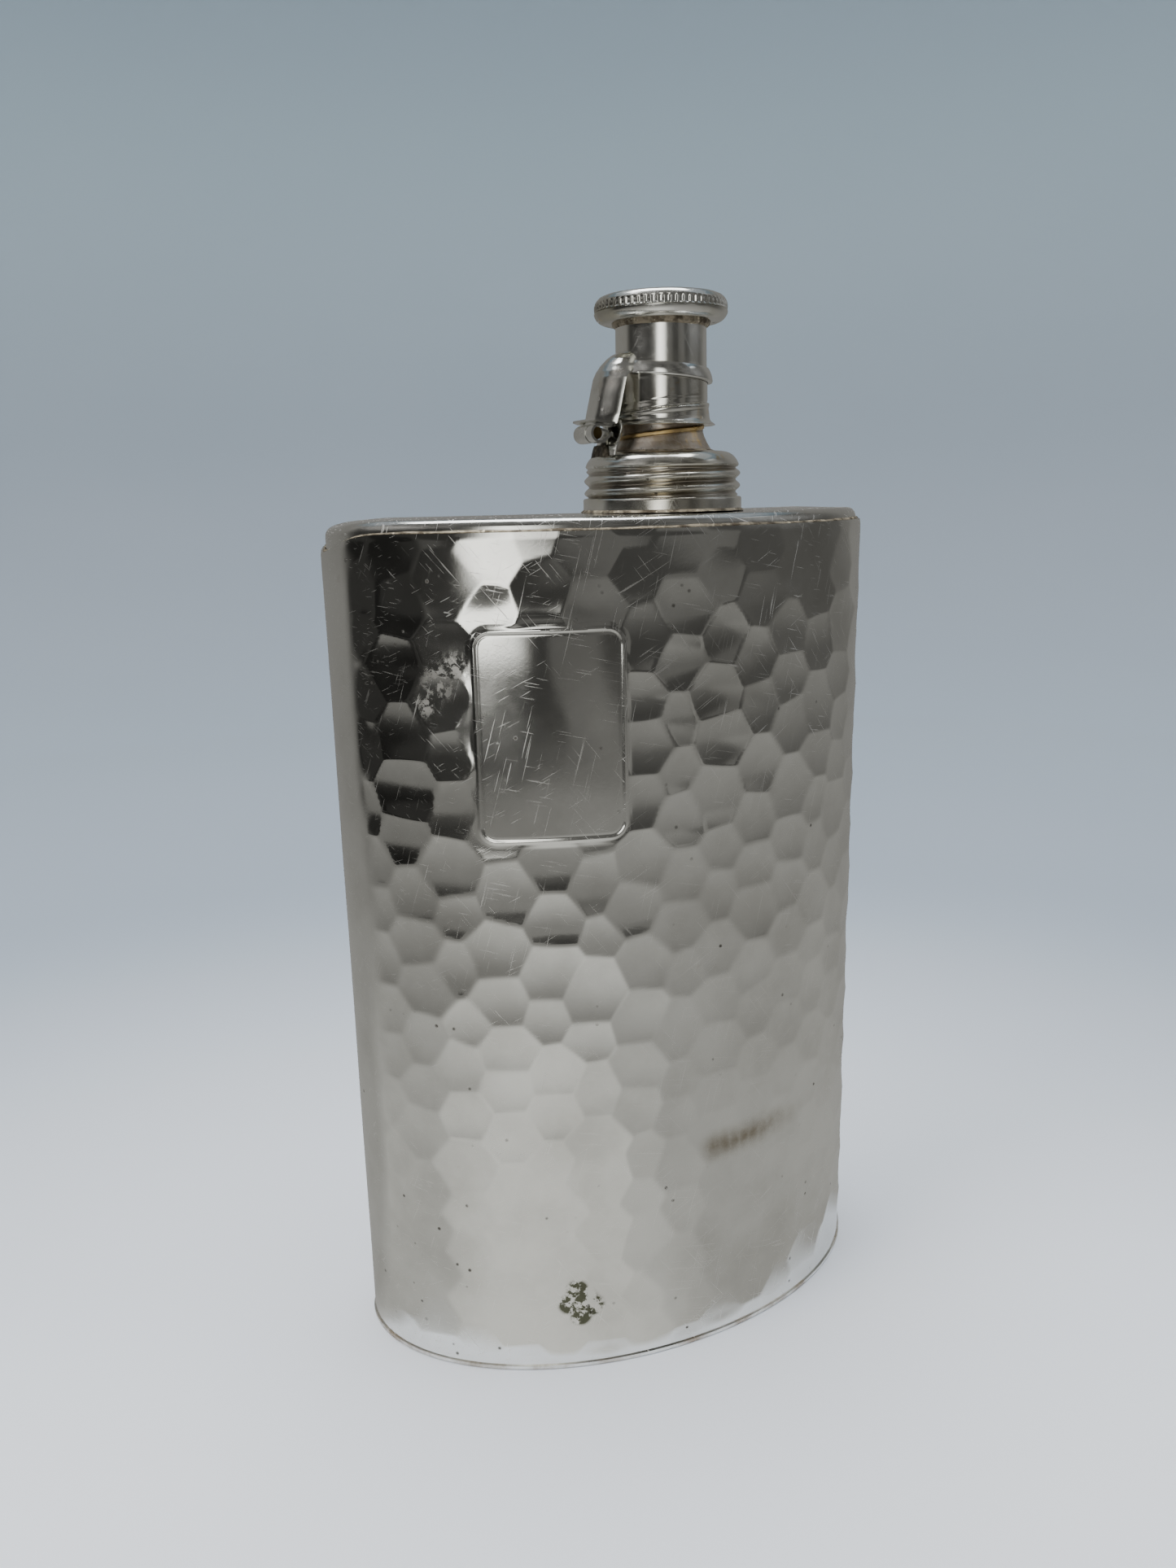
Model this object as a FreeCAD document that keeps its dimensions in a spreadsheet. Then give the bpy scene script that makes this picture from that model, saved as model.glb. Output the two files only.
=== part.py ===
"""Hip flask with a captive screw cap: one object per sub-part, in millimetres.

Frame: +Z up, +X to the flask's right, -Y out of its convex front. The origin is
on the floor, in the middle of the base's width and depth.
"""
import FreeCAD
import Part
import Sketcher
import math
import os

from FreeCAD import Placement, Rotation, Vector

doc = FreeCAD.newDocument("HipFlask")

# ---------------------------------------------------------------- driving sizes
SIZES = {
    # body section: half an ellipse in front, round ends, a hollow back
    "halfwidth": 48.3,
    "frontdepth": 30.1,
    "tipsback": 10.05,
    "endradius": 10.0,
    "thickness": 32.0,
    "sheet": 0.8,
    # body heights
    "baseroll": 0.8,
    "rolloverhang": 0.2,
    "rollround": 0.35,
    "footwidth": 3.0,
    "dish": 0.5,
    "rim": 142.0,
    "plateinset": 1.2,
    "crown": 2.2,
    "crownround": 1.6,
    "seambead": 0.5,
    # threaded collar, measured up from the rim
    "neckx": 4.4,
    "necky": -4.15,
    "collarradius": 12.7,
    "bandtop": 4.3,
    "threadroot": 11.7,
    "threadcrest": 12.5,
    "threadpitch": 1.9,
    "shouldery": 9.2,
    "shoulderradius": 12.3,
    "shouldertop": 11.3,
    "shoulderround": 5.0,
    "footradius": 8.4,
    "collarbore": 10.6,
    # pouring neck
    "neckradius": 6.6,
    "neckbore": 5.8,
    "necktail": 1.0,
    "flaretop": 14.0,
    "ridgecrest": 6.8,
    "ridgeheight": 14.9,
    "necktop": 16.8,
    # hinge at the neck's left
    "hingex": -12.3,
    "hingez": 14.2,
    "barrelradius": 1.45,
    "pinradius": 0.6,
    "pinfit": 0.06,
    "pinrecess": 0.8,
    "barrelhalf": 3.7,
    "knucklehalf": 1.2,
    "knucklegap": 0.15,
    "leaf": 0.5,
    "leafx": -9.2,
    "leaftop": 16.0,
    # arm: hood and tilted ring
    "hoodsheet": 0.55,
    "hoodangle": 60.0,
    "hoodround": 10.0,
    "ringbore": 7.5,
    "ringradius": 8.1,
    "ringheight": 2.1,
    "ringmid": 23.3,
    "ringtilt": 4.0,
    # cap: tube with bead and lip, knob and seal
    "tuberadius": 7.3,
    "tubebore": 6.9,
    "lipbottom": 15.55,
    "lipradius": 8.6,
    "tubetop": 30.8,
    "knobradius": 10.4,
    "knobbottom": 32.4,
    "bandheight": 1.3,
    "knobtop": 35.3,
    "corkbottom": 19.85,
    "corktop": 22.4,
}

sheet = doc.addObject("Spreadsheet::Sheet", "Sizes")
for row, (name, number) in enumerate(SIZES.items(), start=1):
    sheet.set("A%d" % row, name)
    sheet.set("B%d" % row, str(number))
    sheet.setAlias("B%d" % row, name)
doc.recompute()


# ---------------------------------------------------------------- helpers
def number(expression):
    """The value of a sum such as 'rim + crown - 0.5', read from the sheet."""
    total = 0.0
    sign = 1.0
    for word in str(expression).split():
        if word == "+":
            sign = 1.0
        elif word == "-":
            sign = -1.0
        elif word in SIZES:
            total += sign * float(sheet.get(word))
            sign = 1.0
        else:
            total += sign * float(word)
            sign = 1.0
    return total


def formula(expression):
    """The same sum as a FreeCAD expression on the sheet."""
    words = str(expression).split()
    return " ".join("Sizes." + word if word in SIZES else word for word in words)


def new_body(label, x="0", y="0", z="0"):
    """A body with its own label and placement."""
    body = doc.addObject("PartDesign::Body", label)
    body.Label = label
    body.Placement = Placement(Vector(number(x), number(y), number(z)), Rotation())
    body.setExpression(".Placement.Base.x", formula(x))
    body.setExpression(".Placement.Base.y", formula(y))
    body.setExpression(".Placement.Base.z", formula(z))
    return body


def neck_body(label):
    """A body on the neck's axis, with its heights counted from the rim."""
    return new_body(label, x="neckx", y="necky", z="rim")


def plane(body, role):
    for feature in body.Origin.OriginFeatures:
        if feature.Role == role:
            return feature
    raise ValueError(role)


def new_sketch(body, name, role):
    sketch = body.newObject("Sketcher::SketchObject", name)
    sketch.AttachmentSupport = [(plane(body, role), "")]
    sketch.MapMode = "FlatFace"
    return sketch


def arc_between(start, end, radius, side):
    """The short arc from start to end; side is +1 for bulging left of the way."""
    chord = end - start
    half = chord.Length / 2.0
    middle = (start + end) * 0.5
    left = Vector(-chord.y, chord.x, 0).normalize()
    centre = middle - left * side * math.sqrt(max(radius * radius - half * half, 0.0))
    first = math.atan2(start.y - centre.y, start.x - centre.x)
    last = math.atan2(end.y - centre.y, end.x - centre.x)
    circle = Part.Circle(centre, Vector(0, 0, 1), radius)
    if side > 0:
        return Part.ArcOfCircle(circle, last, first)
    return Part.ArcOfCircle(circle, first, last)


def fix_point(sketch, index, end, corner):
    """Dimension one end of an edge from the origin, bound to the sheet."""
    for kind, expression in (("DistanceX", corner[0]), ("DistanceY", corner[1])):
        at = sketch.addConstraint(
            Sketcher.Constraint(kind, -1, 1, index, end, number(expression)))
        sketch.setExpression("Constraints[%d]" % at, formula(expression))


def draw_profile(sketch, corners):
    """A closed outline. Each corner is (x, y) or, for an arc that arrives
    there, (x, y, radius, side)."""
    points = [Vector(number(c[0]), number(c[1]), 0) for c in corners]
    ends = []
    for i, corner in enumerate(corners):
        start = points[i - 1]
        end = points[i]
        if len(corner) == 4:
            radius = number(corner[2])
            edge = sketch.addGeometry(arc_between(start, end, radius, corner[3]))
            at = sketch.addConstraint(Sketcher.Constraint("Radius", edge, radius))
            sketch.setExpression("Constraints[%d]" % at, formula(corner[2]))
            ends.append((edge, 2, 1) if corner[3] > 0 else (edge, 1, 2))
        else:
            edge = sketch.addGeometry(Part.LineSegment(start, end))
            ends.append((edge, 1, 2))
    for i, corner in enumerate(corners):
        edge, first, last = ends[i]
        following, next_first, next_last = ends[(i + 1) % len(ends)]
        sketch.addConstraint(
            Sketcher.Constraint("Coincident", edge, last, following, next_first))
        fix_point(sketch, edge, last, corner)


def revolve(body, name, corners, angle=360.0):
    """Turn a profile in X and Z about the body's own Z axis."""
    sketch = new_sketch(body, name + "Profile", "XZ_Plane")
    draw_profile(sketch, corners)
    feature = body.newObject("PartDesign::Revolution", name)
    feature.Profile = sketch
    feature.ReferenceAxis = (sketch, ["V_Axis"])
    feature.Angle = angle
    feature.Midplane = angle < 360.0
    sketch.Visibility = False
    return feature


def section(sketch, grow):
    """The flask's plan outline, moved outwards by grow."""
    wide = number("halfwidth") + grow
    deep = number("frontdepth") + grow
    tips = number("tipsback")
    end = number("endradius")
    back = number("thickness") - number("frontdepth")
    across = number("halfwidth") - end
    # the hollow back is an arc that touches both round ends
    hollow = (across ** 2 + back ** 2 - end ** 2) / (2.0 * (end - back))
    centre = Vector(0, tips + back + hollow, 0)
    turn = math.atan2(back + hollow, across)
    up = Vector(0, 0, 1)
    middle = Vector(0, tips, 0)
    ellipse = Part.Ellipse(Vector(wide, tips, 0), Vector(0, tips + deep, 0), middle)
    front = Part.ArcOfEllipse(ellipse, math.pi, 2.0 * math.pi)
    right = Part.ArcOfCircle(
        Part.Circle(Vector(across, tips, 0), up, end + grow), 0.0, math.pi - turn)
    left = Part.ArcOfCircle(
        Part.Circle(Vector(-across, tips, 0), up, end + grow), turn, math.pi)
    rear = Part.ArcOfCircle(
        Part.Circle(centre, up, hollow - grow), math.pi + turn, 2.0 * math.pi - turn)
    for edge in (front, right, rear, left):
        sketch.addGeometry(edge)


def pad_section(body, name, grow, height, inner=None):
    """A plate of the plan outline, or a ring of it if inner is given."""
    sketch = new_sketch(body, name + "Outline", "XY_Plane")
    section(sketch, grow)
    if inner is not None:
        section(sketch, inner)
    pad = body.newObject("PartDesign::Pad", name)
    pad.Profile = sketch
    pad.Length = number(height)
    pad.setExpression("Length", formula(height))
    sketch.Visibility = False
    return pad


def pocket_section(body, name, grow, depth):
    """Cut the plan outline upwards into a body from its own base plane."""
    sketch = new_sketch(body, name + "Outline", "XY_Plane")
    section(sketch, grow)
    pocket = body.newObject("PartDesign::Pocket", name)
    pocket.Profile = sketch
    pocket.Length = number(depth)
    pocket.setExpression("Length", formula(depth))
    pocket.Reversed = True
    sketch.Visibility = False
    return pocket


def cut_disc(body, name, x, y, radius):
    """A round hole up through the whole body."""
    sketch = new_sketch(body, name + "Circle", "XY_Plane")
    centre = Vector(number(x), number(y), 0)
    index = sketch.addGeometry(Part.Circle(centre, Vector(0, 0, 1), number(radius)))
    fix_point(sketch, index, 3, (x, y))
    at = sketch.addConstraint(Sketcher.Constraint("Radius", index, number(radius)))
    sketch.setExpression("Constraints[%d]" % at, formula(radius))
    pocket = body.newObject("PartDesign::Pocket", name)
    pocket.Profile = sketch
    pocket.Type = "ThroughAll"
    pocket.Reversed = True
    sketch.Visibility = False
    return pocket


def across_y(body, name, kind, corners, length):
    """Pad or Pocket a profile in X and Z, both ways along Y."""
    sketch = new_sketch(body, name + "Profile", "XZ_Plane")
    draw_profile(sketch, corners)
    feature = body.newObject("PartDesign::" + kind, name)
    feature.Profile = sketch
    feature.Length = number(length)
    feature.setExpression("Length", formula(length))
    feature.Midplane = True
    sketch.Visibility = False
    return feature


def circle_y(body, name, kind, radius, length):
    """Pad or Pocket a circle about the hinge line, both ways along Y."""
    sketch = new_sketch(body, name + "Circle", "XZ_Plane")
    centre = Vector(number("hingex"), number("hingez"), 0)
    index = sketch.addGeometry(Part.Circle(centre, Vector(0, 0, 1), number(radius)))
    fix_point(sketch, index, 3, ("hingex", "hingez"))
    at = sketch.addConstraint(Sketcher.Constraint("Radius", index, number(radius)))
    sketch.setExpression("Constraints[%d]" % at, formula(radius))
    feature = body.newObject("PartDesign::" + kind, name)
    feature.Profile = sketch
    feature.Length = number(length)
    feature.setExpression("Length", formula(length))
    feature.Midplane = True
    sketch.Visibility = False
    return feature


def edges_at(body, height):
    """Names of the tip's edges that lie level at a height."""
    names = []
    for i, edge in enumerate(body.Tip.Shape.Edges, start=1):
        box = edge.BoundBox
        if abs(box.ZMin - height) < 1e-4 and abs(box.ZMax - height) < 1e-4:
            names.append("Edge%d" % i)
    return names


def round_edges(body, name, names, radius):
    before = body.Tip
    fillet = body.newObject("PartDesign::Fillet", name)
    fillet.Base = (before, names)
    fillet.Radius = number(radius)
    fillet.setExpression("Radius", formula(radius))
    return fillet


# ---------------------------------------------------------------- body
def make_wall():
    """Hammered wall: one closed tube of sheet, from the base to the rim."""
    body = new_body("body_wall", z="baseroll")
    pad_section(body, "WallTube", 0.0, "rim - baseroll", -number("sheet"))
    return body


def make_base():
    """Base plate with a rolled edge, dished so that it stands on a foot."""
    body = new_body("base_plate")
    pad_section(body, "BasePad", number("rolloverhang"), "baseroll")
    doc.recompute()
    round_edges(body, "BaseRoll", edges_at(body, 0.0), "rollround")
    pocket_section(body, "BaseDish", -number("footwidth"), "dish")
    return body


def make_base_seam():
    """Fillet of solder inside, where the wall stands on the base."""
    body = new_body("base_seam", z="baseroll")
    inside = -number("sheet")
    pad_section(body, "SeamPad", inside, "seambead", inside - number("seambead"))
    return body


def make_top_plate():
    """Pressed top with a rounded shoulder, let into the wall's mouth."""
    body = new_body("top_plate", z="rim - plateinset")
    inside = -number("sheet")
    pad_section(body, "PlatePad", inside, "plateinset + crown")
    doc.recompute()
    top = number("plateinset + crown")
    round_edges(body, "PlateShoulder", edges_at(body, top), "crownround")
    hollow = "plateinset + crown - sheet"
    pocket_section(body, "PlateHollow", 2.0 * inside, hollow)
    cut_disc(body, "NeckHole", "neckx", "necky", "neckradius")
    return body


def make_top_seam():
    """Line of solder on the rim, in the corner under the shoulder."""
    body = new_body("top_seam", z="rim")
    bead = number("seambead")
    inside = -number("sheet")
    pad_section(body, "SeamPad", inside + bead, "seambead - 0.15", inside)
    return body


# ---------------------------------------------------------------- collar and neck
def make_collar():
    """Ferrule with a band, an outside thread and a rounded shoulder."""
    body = neck_body("collar")
    corners = [
        ("collarbore", "crown"),
        ("collarradius", "crown"),
        ("collarradius", "bandtop"),
        ("threadroot", "bandtop"),
        ("threadroot", "shouldery"),
        ("shoulderradius", "shouldery"),
        ("footradius", "shouldertop", "shoulderround", -1),
        ("neckradius", "shouldertop"),
        ("neckradius", "shouldertop - 1.1"),
        ("footradius", "shouldertop - 1.1"),
        ("collarbore", "shouldery - 0.5"),
    ]
    revolve(body, "CollarTurn", corners)
    return body


def add_collar_thread(body):
    """Two ridges on the collar, a pitch apart."""
    low = number("bandtop")
    pitch = number("threadpitch")
    for i in range(2):
        middle = low + pitch * (i + 1.0)
        corners = [
            ("threadroot - 0.3", str(middle - 0.75)),
            ("threadroot", str(middle - 0.7)),
            ("threadcrest", str(middle - 0.2)),
            ("threadcrest", str(middle + 0.2)),
            ("threadroot", str(middle + 0.7)),
            ("threadroot - 0.3", str(middle + 0.75)),
        ]
        revolve(body, "Ridge%d" % (i + 1), corners)


def make_collar_solder():
    """Bead of solder round the collar's foot."""
    body = neck_body("collar_solder")
    corners = [
        ("collarradius", "crown"),
        ("collarradius + 0.45", "crown"),
        ("collarradius", "crown + 0.4"),
    ]
    revolve(body, "Bead", corners)
    return body


def make_neck():
    """Pouring neck: a tube with a flared foot and a thread ridge."""
    body = neck_body("pour_neck")
    corners = [
        ("neckbore", "0 - necktail"),
        ("neckradius", "0 - necktail"),
        ("neckradius", "shouldertop"),
        ("footradius", "shouldertop"),
        ("neckradius", "flaretop", "flaretop - shouldertop", 1),
        ("neckradius", "ridgeheight - 0.35"),
        ("ridgecrest", "ridgeheight - 0.15"),
        ("ridgecrest", "ridgeheight + 0.15"),
        ("neckradius", "ridgeheight + 0.35"),
        ("neckradius", "necktop - 0.3"),
        ("neckradius - 0.3", "necktop"),
        ("neckbore", "necktop"),
    ]
    revolve(body, "NeckTurn", corners)
    return body


def make_neck_solder():
    """Bead of solder where the flared foot sits on the shoulder."""
    body = neck_body("neck_solder")
    corners = [
        ("footradius - 0.25", "shouldertop + 0.02"),
        ("footradius + 0.35", "shouldertop"),
        ("footradius - 0.25", "shouldertop + 0.3"),
    ]
    revolve(body, "Bead", corners)
    return body


# ---------------------------------------------------------------- hinge
def make_bracket():
    """Leaf on the collar's shoulder with the middle knuckle of the hinge."""
    body = neck_body("hinge_bracket")
    leaf = [
        ("leafx - 1.3 - leaf", "shouldertop - 0.9"),
        ("leafx - 1.3", "shouldertop - 0.9"),
        ("leafx - 1.25", "shouldertop"),
        ("leafx", "hingez + 0.6", "5.0", 1),
        ("leafx - 0.1", "leaftop"),
        ("leafx - 0.1 - leaf", "leaftop"),
        ("leafx - leaf", "hingez + 0.6"),
        ("leafx - 1.25 - leaf", "shouldertop", "4.5", -1),
    ]
    across_y(body, "Leaf", "Pad", leaf, "barrelhalf + barrelhalf")
    web = [
        ("hingex", "hingez - barrelradius"),
        ("leafx - 0.6", "hingez - 1.2"),
        ("leafx - 0.2", "hingez + 0.4"),
        ("hingex", "hingez + 0.8"),
    ]
    across_y(body, "Web", "Pad", web, "knucklehalf + knucklehalf")
    circle_y(body, "Knuckle", "Pad", "barrelradius", "knucklehalf + knucklehalf")
    bore = "pinradius"
    circle_y(body, "PinSeat", "Pocket", bore, "barrelhalf + barrelhalf")
    return body


def make_pin():
    """Wire pin, held in the bracket's knuckle."""
    body = neck_body("hinge_pin")
    length = "barrelhalf + barrelhalf - pinrecess - pinrecess"
    circle_y(body, "Wire", "Pad", "pinradius", length)
    return body


def make_bracket_solder():
    """Solder in the corner between the leaf's foot and the shoulder."""
    body = neck_body("bracket_solder")
    corners = [
        ("leafx - 1.28", "shouldertop - 0.6"),
        ("leafx - 0.6", "shouldertop - 0.35"),
        ("leafx - 1.2", "shouldertop + 0.3"),
    ]
    across_y(body, "Fillet", "Pad", corners, "barrelhalf + 2.5")
    return body


# ---------------------------------------------------------------- arm
def make_arm():
    """Sheet arm: ring round the cap's tube, hood, and two rolled knuckles."""
    body = neck_body("cap_arm")
    hood = [
        ("-11.3 - hoodsheet", "hingez + 0.8"),
        ("-8.2", "ringmid + 2.7", "hoodround", 1),
        ("-7.65", "ringmid + 2.6"),
        ("-7.65", "ringmid + 0.3"),
        ("-8.0", "ringmid + 0.3"),
        ("-8.1", "ringmid + 1.9"),
        ("-11.3", "hingez + 0.8", "hoodround - hoodsheet", -1),
    ]
    revolve(body, "Hood", hood, SIZES["hoodangle"])
    add_ring(body)
    whole = "barrelhalf + barrelhalf"
    circle_y(body, "Barrel", "Pad", "barrelradius", whole)
    notch = [
        ("hingex - barrelradius - 0.3", "hingez - barrelradius - 0.3"),
        ("hingex + barrelradius + 0.9", "hingez - barrelradius - 0.3"),
        ("hingex + barrelradius + 0.9", "hingez + barrelradius + 0.4"),
        ("hingex - barrelradius - 0.3", "hingez + barrelradius + 0.4"),
    ]
    gap = "knucklehalf + knucklehalf + knucklegap + knucklegap"
    across_y(body, "KnuckleGap", "Pocket", notch, gap)
    circle_y(body, "PinHole", "Pocket", "pinradius + pinfit", whole)
    return body


def add_ring(body):
    """The ring, a little tilted because it hangs loose on the tube."""
    sketch = new_sketch(body, "RingProfile", "XZ_Plane")
    tilt = Rotation(Vector(0, 0, 1), -SIZES["ringtilt"])
    sketch.AttachmentOffset = Placement(Vector(0, number("ringmid"), 0), tilt)
    half = SIZES["ringheight"] / 2.0
    corners = [
        ("ringbore", str(-half)),
        ("ringradius", str(-half)),
        ("ringradius", str(half - 0.5)),
        ("ringbore + 0.15", str(half)),
        ("ringbore", str(half)),
    ]
    draw_profile(sketch, corners)
    ring = body.newObject("PartDesign::Revolution", "Ring")
    ring.Profile = sketch
    ring.ReferenceAxis = (sketch, ["V_Axis"])
    ring.Angle = 360.0
    sketch.Visibility = False


# ---------------------------------------------------------------- cap
def make_tube():
    """Thin tube of the cap, with a bead and a flared lip at its mouth."""
    body = neck_body("cap_tube")
    corners = [
        ("lipradius - 0.5", "lipbottom"),
        ("lipradius", "lipbottom + 0.1"),
        ("tuberadius + 0.35", "lipbottom + 0.6", "1.2", 1),
        ("tuberadius + 0.4", "lipbottom + 2.0"),
        ("tuberadius", "lipbottom + 2.5"),
        ("tuberadius", "tubetop"),
        ("tubebore", "tubetop"),
        ("tubebore", "lipbottom + 1.0"),
    ]
    revolve(body, "TubeTurn", corners)
    return body


def make_underside():
    """Lower half of the knob, let over the tube's end."""
    body = neck_body("knob_underside")
    corners = [
        ("0", "tubetop"),
        ("tuberadius", "tubetop"),
        ("tuberadius", "tubetop - 0.7"),
        ("tuberadius + 0.2", "tubetop - 0.7"),
        ("tuberadius + 1.0", "tubetop + 0.25", "1.2", 1),
        ("knobradius - 1.3", "tubetop + 0.35"),
        ("knobradius - 0.1", "knobbottom", "1.45", -1),
        ("0", "knobbottom"),
    ]
    revolve(body, "UndersideTurn", corners)
    return body


def make_solder_ring():
    """Line of solder where the tube enters the knob."""
    body = neck_body("knob_solder")
    corners = [
        ("tuberadius", "tubetop - 1.1"),
        ("tuberadius + 0.25", "tubetop - 0.7"),
        ("tuberadius", "tubetop - 0.7"),
    ]
    revolve(body, "Bead", corners)
    return body


def make_knob():
    """Domed top of the knob with a reeded edge."""
    body = neck_body("knob_top")
    across = number("knobradius - 0.5")
    rise = number("knobtop - knobbottom - bandheight - 0.5")
    # a dome whose centre is on the axis
    dome = (across ** 2 + rise ** 2) / (2.0 * rise)
    corners = [
        ("0", "knobbottom"),
        ("knobradius", "knobbottom"),
        ("knobradius", "knobbottom + bandheight"),
        ("knobradius - 0.5", "knobbottom + bandheight + 0.5", "0.5", -1),
        ("0", "knobtop", str(dome), -1),
    ]
    revolve(body, "KnobTurn", corners)
    return body


def make_seal_plate():
    """Plate soldered inside the tube, above the cork."""
    body = neck_body("seal_plate")
    corners = [
        ("0", "corktop + 0.05"),
        ("tubebore", "corktop + 0.05"),
        ("tubebore", "corktop + 0.65"),
        ("0", "corktop + 0.65"),
    ]
    revolve(body, "Plate", corners)
    return body


def make_cork():
    """Cork disc that shuts the neck; it may stay still while the cap turns."""
    body = neck_body("cork_seal")
    corners = [
        ("0", "corkbottom"),
        ("tubebore - 0.08", "corkbottom"),
        ("tubebore - 0.08", "corktop"),
        ("0", "corktop"),
    ]
    revolve(body, "Disc", corners)
    return body


# ---------------------------------------------------------------- build and export
def make_collar_with_thread():
    body = make_collar()
    add_collar_thread(body)
    return body


MAKERS = [
    make_wall, make_base, make_base_seam, make_top_plate, make_top_seam,
    make_collar_with_thread, make_collar_solder, make_neck, make_neck_solder,
    make_bracket, make_bracket_solder, make_pin,
    make_arm,
    make_tube, make_underside, make_solder_ring, make_knob, make_seal_plate,
    make_cork,
]

parts = [make() for make in MAKERS]
doc.recompute()

for thing in doc.Objects:
    if "Invalid" in thing.State or "Error" in thing.State:
        raise RuntimeError("%s is %s" % (thing.Label, thing.State))

os.makedirs("parts", exist_ok=True)
for part in parts:
    shape = part.Shape
    if shape.isNull() or not shape.isValid():
        raise RuntimeError(part.Label + " has no valid shape")
    box = shape.BoundBox
    print("%-16s %9.1f mm3  z %7.2f to %7.2f  solids %d"
          % (part.Label, shape.Volume, box.ZMin, box.ZMax, len(shape.Solids)))
    shape.exportStep("parts/%s.step" % part.Label)
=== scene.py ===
"""Looks of the hip flask: hammered plated wall, threaded neck, captive screw cap."""

import math

import bmesh
import bpy
import numpy as np
from mathutils import Matrix, Vector
from mathutils.geometry import delaunay_2d_cdt


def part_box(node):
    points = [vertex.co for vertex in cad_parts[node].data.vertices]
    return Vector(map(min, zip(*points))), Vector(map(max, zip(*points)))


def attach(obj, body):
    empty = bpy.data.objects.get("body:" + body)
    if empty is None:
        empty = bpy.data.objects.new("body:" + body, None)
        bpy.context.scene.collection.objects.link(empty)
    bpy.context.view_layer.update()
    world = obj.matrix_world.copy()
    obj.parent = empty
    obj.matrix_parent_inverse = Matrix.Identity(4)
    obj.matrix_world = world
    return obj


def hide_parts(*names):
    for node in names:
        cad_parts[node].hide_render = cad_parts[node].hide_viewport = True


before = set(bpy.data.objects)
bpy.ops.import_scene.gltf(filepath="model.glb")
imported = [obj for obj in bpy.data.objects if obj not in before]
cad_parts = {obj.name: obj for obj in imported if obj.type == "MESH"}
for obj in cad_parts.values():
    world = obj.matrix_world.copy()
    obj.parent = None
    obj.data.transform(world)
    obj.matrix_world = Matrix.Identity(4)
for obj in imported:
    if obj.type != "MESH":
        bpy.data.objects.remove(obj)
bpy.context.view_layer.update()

MM = 0.001
hammer = np.random.default_rng(7)

# ---- sizes from the frame
wall_low, wall_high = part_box("body_wall")
collar_low, collar_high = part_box("collar")
HALF_WIDTH = wall_high[0] / MM
RIM = wall_high[2] / MM
FOOT = wall_low[2] / MM
NECK_X = (collar_low[0] + collar_high[0]) / 2 / MM
NECK_Y = (collar_low[1] + collar_high[1]) / 2 / MM
# plan outline, as in the CAD: ellipse in front, round ends, hollow back
END_RADIUS = 10.0
THICKNESS = 32.0
TIPS_Y = wall_high[1] / MM - END_RADIUS
FRONT_DEPTH = TIPS_Y - wall_low[1] / MM
SHEET = 0.8
CROWN = 2.2
OUTLINE_POINTS = 4000


# ---- mesh helpers
def mesh_object(name, verts, faces):
    """A mesh object from points in millimetres."""
    mesh = bpy.data.meshes.new(name)
    mesh.from_pydata((np.asarray(verts) * MM).tolist(), [], faces)
    obj = bpy.data.objects.new(name, mesh)
    bpy.context.scene.collection.objects.link(obj)
    return obj


def new_object(name, verts, faces, body):
    """A smooth piece of the flask, riding on a body."""
    obj = mesh_object(name, verts, faces)
    obj.data.shade_smooth()
    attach(obj, body)
    return obj


def grid_faces(rows, cols, close_cols=True, close_rows=False):
    """Quads between rows of points; each row has cols points."""
    faces = []
    last_row = rows if close_rows else rows - 1
    last_col = cols if close_cols else cols - 1
    for j in range(last_row):
        below = j * cols
        above = ((j + 1) % rows) * cols
        for i in range(last_col):
            k = (i + 1) % cols
            faces.append((below + i, below + k, above + k, above + i))
    return faces


def set_attribute(obj, name, values):
    """A number on each point of a mesh, for its material to read."""
    layer = obj.data.attributes.new(name, "FLOAT", "POINT")
    layer.data.foreach_set("value", np.asarray(values, dtype=np.float32).ravel())


def smooth_step(low, high, x):
    """0 below low, 1 above high, with a smooth rise between them."""
    t = np.clip((x - low) / (high - low), 0.0, 1.0)
    return t * t * (3.0 - 2.0 * t)


def auto_smooth(obj, degrees):
    """Smooth shading that keeps edges sharper than this angle."""
    bm = bmesh.new()
    bm.from_mesh(obj.data)
    limit = math.radians(degrees)
    for edge in bm.edges:
        edge.smooth = len(edge.link_faces) != 2 or edge.calc_face_angle() < limit
    bm.to_mesh(obj.data)
    bm.free()


def mend(obj, gap=0.0):
    """Join points closer than a gap in mm, and turn all faces outwards."""
    bm = bmesh.new()
    bm.from_mesh(obj.data)
    if gap:
        bmesh.ops.remove_doubles(bm, verts=bm.verts, dist=gap * MM)
    bmesh.ops.recalc_face_normals(bm, faces=bm.faces)
    bm.to_mesh(obj.data)
    bm.free()
    obj.data.shade_smooth()


# ---- plan outline
def outline(grow=0.0):
    """Closed plan outline from the left tip along the front, as (x, y) points."""
    wide = HALF_WIDTH + grow
    deep = FRONT_DEPTH + grow
    across = HALF_WIDTH - END_RADIUS
    back = THICKNESS - FRONT_DEPTH
    hollow = (across ** 2 + back ** 2 - END_RADIUS ** 2) / (2 * (END_RADIUS - back))
    turn = math.atan2(back + hollow, across)
    t = np.linspace(math.pi, 2 * math.pi, OUTLINE_POINTS)
    front = np.c_[wide * np.cos(t), TIPS_Y + deep * np.sin(t)]
    t = np.linspace(0, math.pi - turn, OUTLINE_POINTS // 4)[1:]
    end = END_RADIUS + grow
    right = np.c_[across + end * np.cos(t), TIPS_Y + end * np.sin(t)]
    t = np.linspace(2 * math.pi - turn, math.pi + turn, OUTLINE_POINTS // 2)[1:]
    centre_y = TIPS_Y + back + hollow
    rear = np.c_[(hollow - grow) * np.cos(t), centre_y + (hollow - grow) * np.sin(t)]
    left = (right * [-1, 1])[::-1][1:]
    return np.vstack([front, right, rear, left])


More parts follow.
